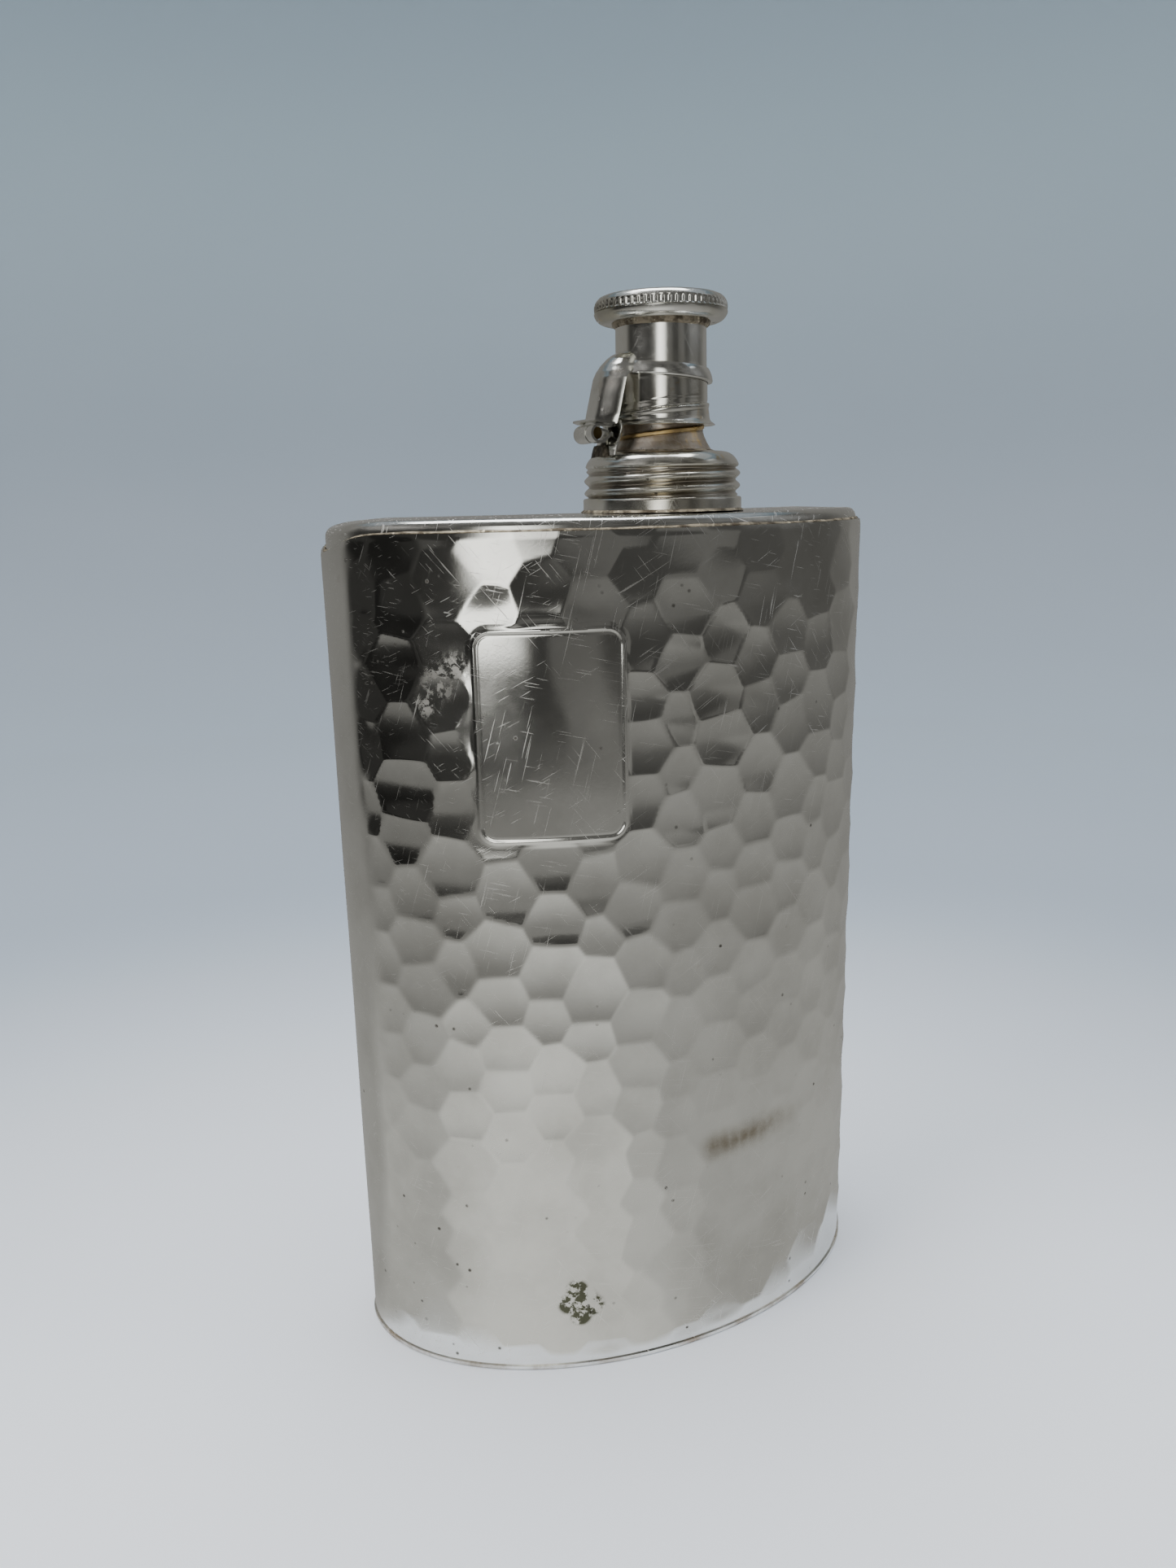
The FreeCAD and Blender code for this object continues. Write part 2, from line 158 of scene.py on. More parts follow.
def walk(points, places):
    """Points of a closed outline at given arc lengths, with unit normals out."""
    steps = np.hypot(*np.diff(np.vstack([points, points[:1]]), axis=0).T)
    run = np.r_[0.0, np.cumsum(steps)]
    ring = np.vstack([points, points[:1]])
    at = np.mod(places, run[-1])
    xy = np.c_[np.interp(at, run, ring[:, 0]), np.interp(at, run, ring[:, 1])]
    ahead = np.mod(at + 0.05, run[-1])
    behind = np.mod(at - 0.05, run[-1])
    dx = np.interp(ahead, run, ring[:, 0]) - np.interp(behind, run, ring[:, 0])
    dy = np.interp(ahead, run, ring[:, 1]) - np.interp(behind, run, ring[:, 1])
    size = np.hypot(dx, dy)
    return xy, np.c_[dy / size, -dx / size], run[-1]


OUTLINE = outline()
PERIMETER = walk(OUTLINE, np.array([0.0]))[2]
FRONT = OUTLINE[:OUTLINE_POINTS]
FRONT_RUN = np.r_[0.0, np.cumsum(np.hypot(*np.diff(FRONT, axis=0).T))]
FRONT_LENGTH = FRONT_RUN[-1]


def inset_ring(s, inset):
    """The outline drawn in by an inset, at the same shares of its length."""
    ring = outline(-inset)
    length = walk(ring, np.array([0.0]))[2]
    return walk(ring, s / PERIMETER * length)[0]


def tip_distances(s):
    """Distances along the outline to the left and the right end tips."""
    left = np.minimum(np.mod(s, PERIMETER), np.mod(-s, PERIMETER))
    return left, np.abs(np.mod(s, PERIMETER) - FRONT_LENGTH)


def rim_dip(s):
    """How far the rim has been pressed down near the end tips."""
    left, right = tip_distances(s)
    return 2.9 * np.exp(-((left / 8.5) ** 2)) + 1.0 * np.exp(-((right / 7.0) ** 2))


def place_at_x(x):
    """Arc length of the front's point with a given x."""
    return float(np.interp(x, FRONT[:, 0], FRONT_RUN))


# the plain cartouche on the hammered front
PLATE_LEFT_X = -31.0
PLATE_RIGHT_X = -9.4
PLATE_LEFT = place_at_x(PLATE_LEFT_X)
PLATE_WIDTH = place_at_x(PLATE_RIGHT_X) - PLATE_LEFT
PLATE_LOW = 95.2
PLATE_HIGH = 127.6
PLATE_CORNER = 2.4


# ---- hammered wall
DENT_COLUMN = 7.4
DENT_ROW = 8.7
DENT_RADIUS = 38.0
SMOOTH_END = 10.5


def dents(s, z):
    """Height of the hammered surface: overlapping shallow round dents."""
    columns = 2 * round(PERIMETER / DENT_COLUMN / 2)
    pitch = PERIMETER / columns
    rows = int(RIM / DENT_ROW) + 4
    shift_s = hammer.uniform(-1.35, 1.35, (columns, rows))
    shift_z = hammer.uniform(-1.5, 1.5, (columns, rows))
    sink = 0.06 * hammer.standard_normal((columns, rows))
    flat = hammer.uniform(0.85, 1.25, (columns, rows))
    column = np.floor(s / pitch).astype(int)
    cells = []
    for step in range(-2, 3):
        k = column + step
        odd = np.mod(k, 2)
        row = np.floor(z / DENT_ROW - 0.5 * odd).astype(int)
        for lift in range(-1, 3):
            r = np.clip(row + lift, -1, rows - 3) + 1
            kk = np.mod(k, columns)
            ds = s - (k * pitch + 0.5 * pitch + shift_s[kk, r])
            dz = z - ((r - 1 + 0.5 * odd) * DENT_ROW + shift_z[kk, r])
            depth = (ds ** 2 + dz ** 2) / (2 * DENT_RADIUS * flat[kk, r]) + sink[kk, r]
            cells.append(depth)
    cells = np.array(cells)
    soft = 0.010
    low = cells.min(axis=0)
    blend = -soft * np.log(np.exp(-(cells - low) / soft).sum(axis=0))
    return low + blend


def plate_distance(s, z):
    """Signed distance from the cartouche's rounded border, negative inside."""
    half_s = PLATE_WIDTH / 2 - PLATE_CORNER
    half_z = (PLATE_HIGH - PLATE_LOW) / 2 - PLATE_CORNER
    ds = np.abs(s - PLATE_LEFT - PLATE_WIDTH / 2) - half_s
    dz = np.abs(z - (PLATE_LOW + PLATE_HIGH) / 2) - half_z
    outside = np.hypot(np.maximum(ds, 0), np.maximum(dz, 0))
    return outside + np.minimum(np.maximum(ds, dz), 0) - PLATE_CORNER


def wall_height(s, z):
    """Outward offset of the wall's skin from the plain outline, in mm."""
    hammered = dents(s, z) - 0.25
    weight = smooth_step(SMOOTH_END - 1.5, SMOOTH_END + 1.5, np.minimum(*tip_distances(s)))
    weight = weight * (1 - 0.6 * smooth_step(RIM - 16, RIM - 3, z))
    border = plate_distance(s, z)
    weight = weight * smooth_step(0.1, 1.2, border)
    weight = weight * smooth_step(0.2, 3.0, z - FOOT)
    ridge = 0.16 * np.exp(-((border / 0.22) ** 2))
    groove = 0.07 * np.exp(-(((np.abs(border) - 0.42) / 0.14) ** 2))
    wave = 0.03 * np.sin(s * 0.31 + 1.0) * np.sin(z * 0.12)
    return hammered * weight + ridge - groove + wave - 0.06


def graded(low, high, coarse, fine, fine_low, fine_high):
    """Places from low to high, closer together between two of them."""
    before = np.arange(low, fine_low, coarse)
    inside = np.arange(fine_low, fine_high, fine)
    after = np.arange(fine_high, high, coarse)
    return np.r_[before, inside, after]


def make_wall():
    """Hammered sheet, with a finer mesh round the cartouche's border."""
    margin = 1.2
    coarse, fine = 0.5, 0.22
    s = graded(0, PERIMETER, coarse, fine, PLATE_LEFT - margin, PLATE_LEFT + PLATE_WIDTH + margin)
    z = graded(FOOT, RIM, coarse, fine, PLATE_LOW - margin, PLATE_HIGH + margin)
    z = np.r_[z[z < RIM - 0.3], RIM]
    xy, normal = walk(OUTLINE, s)[:2]
    grid_s, grid_z = np.meshgrid(s, z)
    height = wall_height(grid_s, grid_z)
    height = np.where(grid_z > RIM - 0.4, height - 0.1, height)
    drop = rim_dip(grid_s) * smooth_step(RIM - 12, RIM, grid_z)
    skin = np.empty(grid_s.shape + (3,))
    skin[..., 0] = xy[None, :, 0] + normal[None, :, 0] * height
    skin[..., 1] = xy[None, :, 1] + normal[None, :, 1] * height
    skin[..., 2] = grid_z - drop
    inner = np.empty((2, len(s), 3))
    for row, level in enumerate((RIM, FOOT)):
        inner[row, :, :2] = xy - normal * SHEET
        inner[row, :, 2] = level - (rim_dip(s) if level == RIM else 0)
    points = np.concatenate([skin, inner]).reshape(-1, 3)
    rows = len(z) + 2
    wall = new_object("hammered_wall", points, grid_faces(rows, len(s), close_rows=True), "flask")
    rubbed = smooth_step(-0.10, 0.05, height)
    set_attribute(wall, "ridge", np.concatenate([rubbed, np.zeros((2, len(s)))]))
    auto_smooth(wall, 50)
    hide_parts("body_wall")
    return wall


# ---- top cushion
RIM_POINTS = 420


def make_top():
    """Pressed top plate with a rolled shoulder, dipping at both ends."""
    s = np.linspace(0, PERIMETER, RIM_POINTS, endpoint=False)
    roll = 1.6
    side, start = SHEET + 0.15, 0.35
    rings = [(side, -3.2), (side, start)]
    for k in range(1, 9):
        a = math.radians(90 * k / 8)
        rings.append((side + roll * (1 - math.cos(a)), start + roll * math.sin(a)))
    points = []
    for inset, lift in rings:
        points.append(np.c_[inset_ring(s, inset), RIM + lift - 0.35 * rim_dip(s)])
    edge = points[-1]
    verts = np.vstack(points)
    faces = grid_faces(len(rings), RIM_POINTS)
    # the flat part: a mesh of triangles round the neck's hole
    circle = np.linspace(0, 2 * math.pi, 72, endpoint=False)
    hole = np.c_[NECK_X + 6.5 * np.cos(circle), NECK_Y + 6.5 * np.sin(circle)]
    gx, gy = np.meshgrid(np.arange(-47, 48, 1.6), np.arange(-21, 21, 1.6))
    inside = np.c_[gx.ravel(), gy.ravel()]
    inside = inside[distance_to_ring(inside, edge[:, :2]) > 0.9]
    inside = inside[np.hypot(inside[:, 0] - NECK_X, inside[:, 1] - NECK_Y) > 7.3]
    flat = np.vstack([edge[:, :2], hole, inside])
    loops = [list(range(RIM_POINTS)), list(range(RIM_POINTS, RIM_POINTS + len(hole)))[::-1]]
    result = delaunay_2d_cdt([Vector(p) for p in flat], [], loops, 1, 1e-6)
    xy = np.array([tuple(v) for v in result[0]])
    triangles = [tuple(f) for f in result[2]]
    centre = np.array([xy[list(f)].mean(axis=0) for f in triangles])
    keep = np.hypot(centre[:, 0] - NECK_X, centre[:, 1] - NECK_Y) > 6.4
    triangles = [f for f, k in zip(triangles, keep) if k]
    away = distance_to_ring(xy, edge[:, :2])
    near = nearest_on_ring(xy, edge)
    rise = (RIM + CROWN - 0.05 - near) * smooth_step(0, 9, away)
    start = len(verts)
    verts = np.vstack([verts, np.c_[xy, near + rise]])
    faces += [tuple(start + i for i in f) for f in triangles]
    top = new_object("top_cushion", verts, faces, "flask")
    mend(top, 0.02)
    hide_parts("top_plate")
    return top


def make_rim_solder():
    """Thin line of solder in the corner between the rim and the top."""
    s = np.linspace(0, PERIMETER, RIM_POINTS, endpoint=False)
    own = np.random.default_rng(13)
    uneven = sum(own.normal(0, 0.05) * np.sin(2 * math.pi * k * s / PERIMETER + k) for k in range(3, 40, 3))
    rows = []
    for inset, lift in ((SHEET - 0.05, -0.1), (0.42, -0.02), (0.5, 0.12), (SHEET - 0.05, 0.35)):
        rows.append(np.c_[inset_ring(s, inset), RIM + lift * (1 + uneven) - rim_dip(s)])
    seam = new_object("rim_solder", np.vstack(rows), grid_faces(4, RIM_POINTS, close_rows=True), "flask")
    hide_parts("top_seam")
    return seam


def distance_to_ring(points, ring):
    """Distance inwards from a closed outline; zero for points outside it."""
    out = np.empty(len(points))
    nxt = np.roll(ring, -1, axis=0)
    side = nxt - ring
    length2 = (side ** 2).sum(axis=1)
    for i, p in enumerate(points):
        t = np.clip(((p - ring) * side).sum(axis=1) / length2, 0, 1)
        d = np.hypot(*(p - ring - t[:, None] * side).T).min()
        crosses = ((ring[:, 1] > p[1]) != (nxt[:, 1] > p[1]))
        slope = np.where(crosses, side[:, 0] / np.where(side[:, 1] == 0, 1, side[:, 1]), 0)
        hits = crosses & (p[0] < ring[:, 0] + slope * (p[1] - ring[:, 1]))
        out[i] = d if hits.sum() % 2 else 0.0
    return out


def nearest_on_ring(points, ring):
    """Height of the outline's nearest point."""
    out = np.empty(len(points))
    for i, p in enumerate(points):
        out[i] = ring[np.hypot(ring[:, 0] - p[0], ring[:, 1] - p[1]).argmin(), 2]
    return out


# ---- turned pieces
def even_profile(corners, step=0.12):
    """Evenly spaced points along a polyline of (r, z) corners."""
    corners = np.array(corners, dtype=float)
    points = []
    for a, b in zip(corners[:-1], corners[1:]):
        n = max(1, int(math.ceil(np.hypot(*(b - a)) / step)))
        points += [a + (b - a) * k / n for k in range(n)]
    points.append(corners[-1])
    return np.array(points)


def arc_points(centre, radius, first, last, count):
    """Points of an arc from one angle to another, in degrees."""
    a = np.radians(np.linspace(first, last, count))
    return [(centre[0] + radius * math.cos(t), centre[1] + radius * math.sin(t)) for t in a]


def turns(segments):
    """Angles round a turned piece, starting at the side of the hinge."""
    return np.linspace(-math.pi, math.pi, segments, endpoint=False)


def lathe(name, profile, body, segments=192, shape=None):
    """Turn a profile about the neck's axis. shape moves (angle, r, z)."""
    angle = turns(segments)
    grid_a, grid_r = np.meshgrid(angle, profile[:, 0])
    grid_z = np.repeat(profile[:, 1][:, None], segments, axis=1)
    if shape:
        grid_r, grid_z = shape(grid_a, grid_r, grid_z)
    x, y = NECK_X + grid_r * np.cos(grid_a), NECK_Y + grid_r * np.sin(grid_a)
    points = np.stack([x, y, RIM + grid_z], -1)
    faces = grid_faces(len(profile), segments)
    return new_object(name, points.reshape(-1, 3), faces, body)


def wobble(angle, waves, size, seed):
    """Slow hand-made unevenness round a turned piece."""
    own = np.random.default_rng(seed)
    total = np.zeros_like(angle)
    for k in range(1, waves + 1):
        total += own.normal(0, size / k) * np.sin(k * angle + own.uniform(0, 6.28))
    return total


THREAD_PITCH = 1.9
CAP_PITCH = 3.9


def from_helix(angle, z, start_degrees, start_z):
    """Height above the nearest turn of the cap's screw line."""
    rise = CAP_PITCH * (angle - math.radians(start_degrees)) / (2 * math.pi)
    return np.mod(z - start_z - rise + CAP_PITCH / 2, CAP_PITCH) - CAP_PITCH / 2


def make_collar():
    """Threaded collar, with dirt between its thread's ridges."""
    root, crest = 11.75, 12.5
    low, high = 4.3, 9.0

    def along_thread(angle, z):
        return 2 * math.pi * (z - low) / THREAD_PITCH - angle

    def thread(angle, r, z):
        ridge = (0.5 + 0.5 * np.cos(along_thread(angle, z))) ** 0.75
        span = smooth_step(low - 0.1, low + 0.5, z) * (1 - smooth_step(high - 0.7, high, z))
        on_side = (r > 11.0) & (z > low - 0.2) & (z < high + 0.1)
        r = np.where(on_side, r + (crest - root) * ridge * span, r)
        return r + wobble(angle, 4, 0.03, 3), z + wobble(angle, 3, 0.03, 4)

    corners = [(10.6, 2.2), (12.62, 2.2), (12.7, 2.3), (12.7, 4.1), (12.55, 4.3), (root, 4.45)]
    corners += [(root, 8.8), (12.1, 9.0), (12.3, 9.3)]
    corners += arc_points((9.5, 8.5), 2.85, 16, 88, 14)
    corners += [(9.0, 11.32), (6.6, 11.3)]
    profile = even_profile(corners)
    segments = 256
    collar = lathe("threaded_collar", profile, "flask", segments, thread)
    r, z = profile[:, :1], profile[:, 1:]
    between = (0.5 - 0.5 * np.cos(along_thread(turns(segments)[None, :], z))) ** 2
    threaded = (r > 11.0) * smooth_step(4.2, 4.5, z) * (1 - smooth_step(9.0, 9.6, z))
    set_attribute(collar, "dirt", between * threaded)
    auto_smooth(collar, 60)
    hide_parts("collar")
    return collar


def make_neck():
    """Flared pouring neck with one worn, brassy thread ridge."""
    start_degrees, start_z = -116, 14.15

    def ridge(angle, r, z):
        near = np.abs(from_helix(angle, z, start_degrees, start_z))
        span = smooth_step(13.0, 13.4, z) * (1 - smooth_step(15.9, 16.3, z)) * (r > 6.4)
        return r + 0.27 * smooth_step(0.42, 0.22, near) * span, z

    corners = [(5.8, -1.0), (6.55, -1.0), (6.55, 11.3), (8.5, 11.3), (8.3, 11.42), (7.95, 11.6)]
    corners += [(7.62, 12.1), (7.2, 12.8), (6.85, 13.6), (6.62, 14.3), (6.55, 15.0)]
    corners += [(6.55, 16.5), (6.3, 16.8), (6.0, 16.8), (5.8, 16.6), (5.8, -1.0)]
    profile = even_profile(corners)
    segments = 160
    neck = lathe("pouring_neck", profile, "flask", segments, ridge)
    r, z = profile[:, :1], profile[:, 1:]
    near = np.abs(from_helix(turns(segments)[None, :], z, start_degrees, start_z))
    outside = (r > 6.4) * smooth_step(13.0, 13.4, z)
    set_attribute(neck, "gold", smooth_step(0.50, 0.25, near) * outside)
    set_attribute(neck, "dirt", np.exp(-(((near - 0.5) / 0.16) ** 2)) * outside)
    auto_smooth(neck, 60)
    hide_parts("pour_neck")
    return neck


def make_tube():
    """The cap's tube, with its thread pressed out and a wider bore at its foot."""
    def groove(angle, r, z):
        outside = r > np.where(z < 18.6, 7.32, 7.1)
        low = from_helix(angle, z, -120, 17.65)
        swell = smooth_step(-0.9, -0.2, low) * (1 - smooth_step(-0.05, 0.12, low))
        line = np.exp(-(((low - 0.18) / 0.10) ** 2)) + 0.35 * np.exp(-(((low - 1.35) / 0.12) ** 2))
        band = smooth_step(16.2, 16.9, z) * (1 - smooth_step(19.2, 20.2, z))
        r = r + (0.24 * swell - 0.12 * line) * outside * band
        return r + wobble(angle, 5, 0.018, 11) * outside, z

    corners = [(8.1, 15.3), (8.45, 15.3), (8.58, 15.38), (8.3, 15.62), (7.95, 15.85), (7.75, 16.15)]
    corners += [(7.66, 16.5), (7.6, 17.2), (7.5, 17.9), (7.38, 18.4), (7.33, 19.0)]
    corners += [(7.32, 22.0), (7.18, 24.5), (7.12, 30.8), (6.9, 30.8), (6.9, 18.8), (7.3, 18.2)]
    corners += [(7.3, 16.4), (7.5, 15.9), (8.1, 15.3)]
    tube = lathe("cap_shell", even_profile(corners), "cap", 192, groove)
    auto_smooth(tube, 60)
    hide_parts("cap_tube")
    return tube


REEDS = 64


def make_knob():
    """Upper shell of the knob, reeded round its edge."""
    def reeds(angle, r, z):
        band = smooth_step(32.4, 32.65, z) * (1 - smooth_step(33.35, 33.75, z)) * (r > 9.9)
        cut = 1.0 - (0.5 + 0.5 * np.cos(REEDS * angle)) ** 2.5
        return r - 0.20 * cut * band, z

    corners = [(0.0, 32.3), (10.1, 32.3), (10.36, 32.4)]
    corners += [(10.4, 33.0), (10.36, 33.4), (10.22, 33.75), (9.95, 34.15), (9.6, 34.45), (9.1, 34.65)]
    corners += [(8.3, 34.8), (6.0, 35.05), (3.0, 35.22), (0.02, 35.28)]
    knob = lathe("reeded_knob", even_profile(corners, 0.14), "cap", REEDS * 10, reeds)
    auto_smooth(knob, 70)
    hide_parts("knob_top")
    return knob


def make_underside():
    """Lower shell of the knob, rolled round to meet the upper one."""
    corners = [(0.0, 31.2), (7.0, 31.2), (7.15, 30.82), (8.0, 30.72), (8.5, 30.74)]
    corners += arc_points((8.75, 32.45), 1.70, 272, 352, 16)
    corners += [(10.25, 32.36), (0.0, 32.4)]
    lower = lathe("knob_lower", even_profile(corners, 0.15), "cap", 192)
    auto_smooth(lower, 60)
    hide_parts("knob_underside")
    return lower


def make_solder_ring():
    """Lumpy line of solder and dirt between the cap's tube and its knob."""
    def lumps(angle, r, z):
        outside = r > 7.2
        return r + wobble(angle, 14, 0.05, 21) * outside, z + wobble(angle, 9, 0.05, 22)

    corners = [(7.05, 29.9), (7.25, 30.05), (7.5, 30.25), (7.62, 30.6), (7.75, 30.95)]
    corners += [(7.1, 31.0), (7.05, 29.9)]
    ring = lathe("solder_ring", even_profile(corners, 0.1), "cap", 192, lumps)
    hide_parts("knob_solder")
    return ring


# ---- hinge and arm
HINGE_X = -12.3
HINGE_Z = 14.2
BARREL_HALF = 3.7
KNUCKLE_HALF = 1.2
KNUCKLE_GAP = 0.15


def thick_strip(profile, thickness):
    """Closed outline of a bent sheet, from the middle line of its profile."""
    line = np.asarray(profile, dtype=float)
    along = np.gradient(line, axis=0)
    along /= np.hypot(*along.T)[:, None]
    side = np.c_[-along[:, 1], along[:, 0]]
    return np.vstack([line + side * thickness / 2, (line - side * thickness / 2)[::-1]])


def end_faces(start, count):
    """Quads that fill a thick_strip's outline of count points."""
    half = range(count // 2 - 1)
    return [(start + i, start + i + 1, start + count - 2 - i, start + count - 1 - i) for i in half]


def extrude_y(name, section, low, high, body):
    """A closed (x, z) outline carried along Y, with its ends filled in."""
    n = len(section)
    rows = []
    for y in np.linspace(low, high, 9):
        rows.append(np.c_[NECK_X + section[:, 0], np.full(n, NECK_Y + y), RIM + section[:, 1]])
    faces = grid_faces(len(rows), n) + end_faces(0, n) + end_faces((len(rows) - 1) * n, n)
    obj = new_object(name, np.vstack(rows), faces, body)
    mend(obj)
    auto_smooth(obj, 40)
    return obj


def hood_section(z):
    """Edge x, apex x and half width of the hood at a height above the rim."""
    edge = np.interp(z, [15.5, 22.4, 23.2, 24.0, 25.0, 26.3],
                     [-9.75, -8.15, -7.3, -6.6, -6.0, -5.6])
    apex = np.interp(z, [15.5, 16.6, 22.4, 23.4, 24.4, 25.3, 25.9, 26.3],
                     [-12.75, -12.6, -11.2, -10.75, -10.0, -9.05, -8.2, -7.2])
    half = np.interp(z, [15.5, 17.0, 22.4, 23.2, 24.0, 25.2, 26.3],
                     [4.7, 5.0, 5.0, 4.75, 4.35, 3.9, 3.5])
    return float(edge), float(apex), float(half)


def hood_row(z, inset):
    """Points across the hood, an arc in plan, at one height."""
    edge, apex, half = hood_section(z)
    depth = max(edge - apex, 0.3)
    radius = (half ** 2 + depth ** 2) / (2 * depth)
    turn = math.atan2(half, radius - depth)
    centre = apex + radius
    a = math.pi + np.linspace(-turn, turn, 44)
    r = radius - inset
    return np.c_[NECK_X + centre + r * np.cos(a), NECK_Y + r * np.sin(a), np.full(len(a), RIM + z)]


def make_hood():
    """Bent sheet that covers the arm, open towards the cap."""
    sheet = 0.5
    heights = np.r_[np.linspace(15.55, 22.8, 40), np.linspace(22.95, 26.28, 34)]
    outer = [hood_row(z, 0.0) for z in heights]
    inner = [hood_row(z, sheet) for z in heights]
    rows = np.array(outer + inner[::-1])
    n = rows.shape[1]
    m = len(heights)
    faces = grid_faces(len(rows), n, close_cols=False, close_rows=True)
    for i in range(m - 1):
        a, b = i * n, (i + 1) * n
        c, d = (2 * m - 2 - i) * n, (2 * m - 1 - i) * n
        faces.append((a, b, c, d))
        faces.append((b + n - 1, a + n - 1, d + n - 1, c + n - 1))
    hood = new_object("arm_hood", rows.reshape(-1, 3), faces, "arm")
    mend(hood, 0.001)
    auto_smooth(hood, 40)
    return hood


def make_ring():
    """Band round the cap's tube; it swells out to meet the hood."""
    segments = 288
    rows = 26
    angle = turns(segments)
    low = 22.4 - 0.75 * np.cos(angle + math.radians(10))
    high = 24.35 - 0.6 * np.cos(angle + math.radians(10))
    toward = np.abs(np.degrees(np.angle(np.exp(1j * (angle - math.pi)))))
    bulge = 1 - smooth_step(32.0, 45.0, toward)
    outer = []
    for t in np.linspace(0, 1, rows):
        z = low + (high - low) * t
        round_off = 0.12 * (1 - smooth_step(0.0, 0.12, t)) + 0.62 * t ** 2
        r = 8.12 - round_off
        reach = 8.55 - 1.1 * t
        r = r + bulge * np.maximum(reach - r, 0)
        r = r + wobble(angle, 6, 0.02, 5)
        outer.append(np.c_[NECK_X + r * np.cos(angle), NECK_Y + r * np.sin(angle), RIM + z])
    inner = []
    for z in (high, low):
        r = np.full(segments, 7.42)
        inner.append(np.c_[NECK_X + r * np.cos(angle), NECK_Y + r * np.sin(angle), RIM + z])
    points = np.array(outer + inner)
    faces = grid_faces(len(points), segments, close_rows=True)
    ring = new_object("arm_ring", points.reshape(-1, 3), faces, "arm")
    auto_smooth(ring, 50)
    return ring


def make_arm():
    """Hood, ring, hinge strap and rolled knuckles of the cap's arm."""
    hood = make_hood()
    ring = make_ring()
    # flat strap on top of the barrel, under the hood's foot
    line = even_profile([(-13.3, 16.2), (-12.6, 15.95), (-10.6, 15.62), (-9.85, 15.6)], 0.3)
    plate = extrude_y("hinge_strap", thick_strip(line, 0.34), -4.6, 4.6, "arm")
    # each outer knuckle is the sheet rolled up into an open teardrop
    roll = [(-10.05, 15.35), (-11.0, 15.45)]
    for degrees in range(70, 311, 8):
        a = math.radians(degrees)
        r = 1.24 + 0.12 * smooth_step(270, 310, degrees)
        roll.append((HINGE_X + 0.1 + r * math.cos(a), HINGE_Z + r * math.sin(a)))
    roll += [(-10.75, 13.55), (-10.2, 14.2)]
    section = thick_strip(even_profile(roll, 0.25), 0.36)
    inner = KNUCKLE_HALF + KNUCKLE_GAP
    near = extrude_y("knuckle_near", section, -BARREL_HALF, -inner, "arm")
    far = extrude_y("knuckle_far", section, inner, BARREL_HALF, "arm")
    pieces = [hood, ring, plate, near, far]
    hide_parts("cap_arm")
    return pieces


def make_bracket():
    """Curved leaf on the shoulder, with the middle knuckle round the pin."""
    line = even_profile([(10.85, 10.6), (10.55, 11.6), (10.3, 12.3), (9.75, 13.3), (9.35, 14.1),
                         (9.12, 14.8), (9.06, 15.3), (9.25, 15.7), (9.6, 15.95)], 0.2)
    # the sheet thins to a rounded edge at both sides
    bevel = ((23.5, 0.3), (23.25, 0.7), (22.7, 0.95))
    spread = [(-degrees, share) for degrees, share in bevel]
    spread += [(degrees, 1.0) for degrees in np.linspace(-22.0, 22.0, 28)] + list(bevel[::-1])
    rows = []
    for degrees, share in spread:
        a = math.pi + math.radians(degrees)
        section = thick_strip(line, 0.5 * share)
        rows.append(np.c_[NECK_X + section[:, 0] * math.cos(a),
                          NECK_Y + section[:, 0] * math.sin(a), RIM + section[:, 1]])
    n = len(section)
    faces = grid_faces(len(rows), n) + end_faces(0, n) + end_faces((len(rows) - 1) * n, n)
    blade = new_object("bracket_leaf", np.vstack(rows), faces, "flask")
    mend(blade, 0.0001)
    auto_smooth(blade, 40)
    roll = [(-9.6, 13.35), (-10.9, 12.98)]
    for degrees in range(300, 39, -12):
        a = math.radians(degrees)
        roll.append((HINGE_X + 1.24 * math.cos(a), HINGE_Z + 1.24 * math.sin(a)))
    roll += [(-10.7, 14.8), (-9.6, 14.5)]
    section = thick_strip(even_profile(roll, 0.25), 0.36)
    knuckle = extrude_y("bracket_knuckle", section, -KNUCKLE_HALF, KNUCKLE_HALF, "flask")
    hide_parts("hinge_bracket")
    return [blade, knuckle]


def make_lug():
    """Rough block of solder under the barrel, on the collar's shoulder."""
    rows = []
    own = np.random.default_rng(31)
    # height, west side, east side and half width
    levels = [(10.0, -11.2, -8.6, 3.9), (10.8, -11.2, -8.7, 3.5), (11.4, -11.15, -9.0, 3.1),
              (12.0, -11.1, -9.3, 2.7), (12.45, -11.0, -9.5, 2.3)]
    fine = np.linspace(levels[0][0], levels[-1][0], 14)
    table = np.array(levels)
    count = 64
    t = np.linspace(0, 2 * math.pi, count, endpoint=False)
    for z in fine:
        west, east, half = (np.interp(z, table[:, 0], table[:, k]) for k in (1, 2, 3))
        x = (east - west) / 2 * np.sign(np.cos(t)) * np.abs(np.cos(t)) ** 0.6
        y = half * np.sign(np.sin(t)) * np.abs(np.sin(t)) ** 0.5
        grow = 1 + own.normal(0, 0.008, count)
        middle = NECK_X + (west + east) / 2
        rows.append(np.c_[middle + x * grow, NECK_Y + y * grow, np.full(count, RIM + z)])
    verts = np.vstack(rows + [[[NECK_X - 10.75, NECK_Y, RIM + fine[-1] + 0.05]]])
    faces = grid_faces(len(rows), count)
    last = (len(rows) - 1) * count
    faces += [(last + i, last + (i + 1) % count, len(verts) - 1) for i in range(count)]
    lug = new_object("solder_lug", verts, faces, "flask")
    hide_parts("bracket_solder")
    return lug


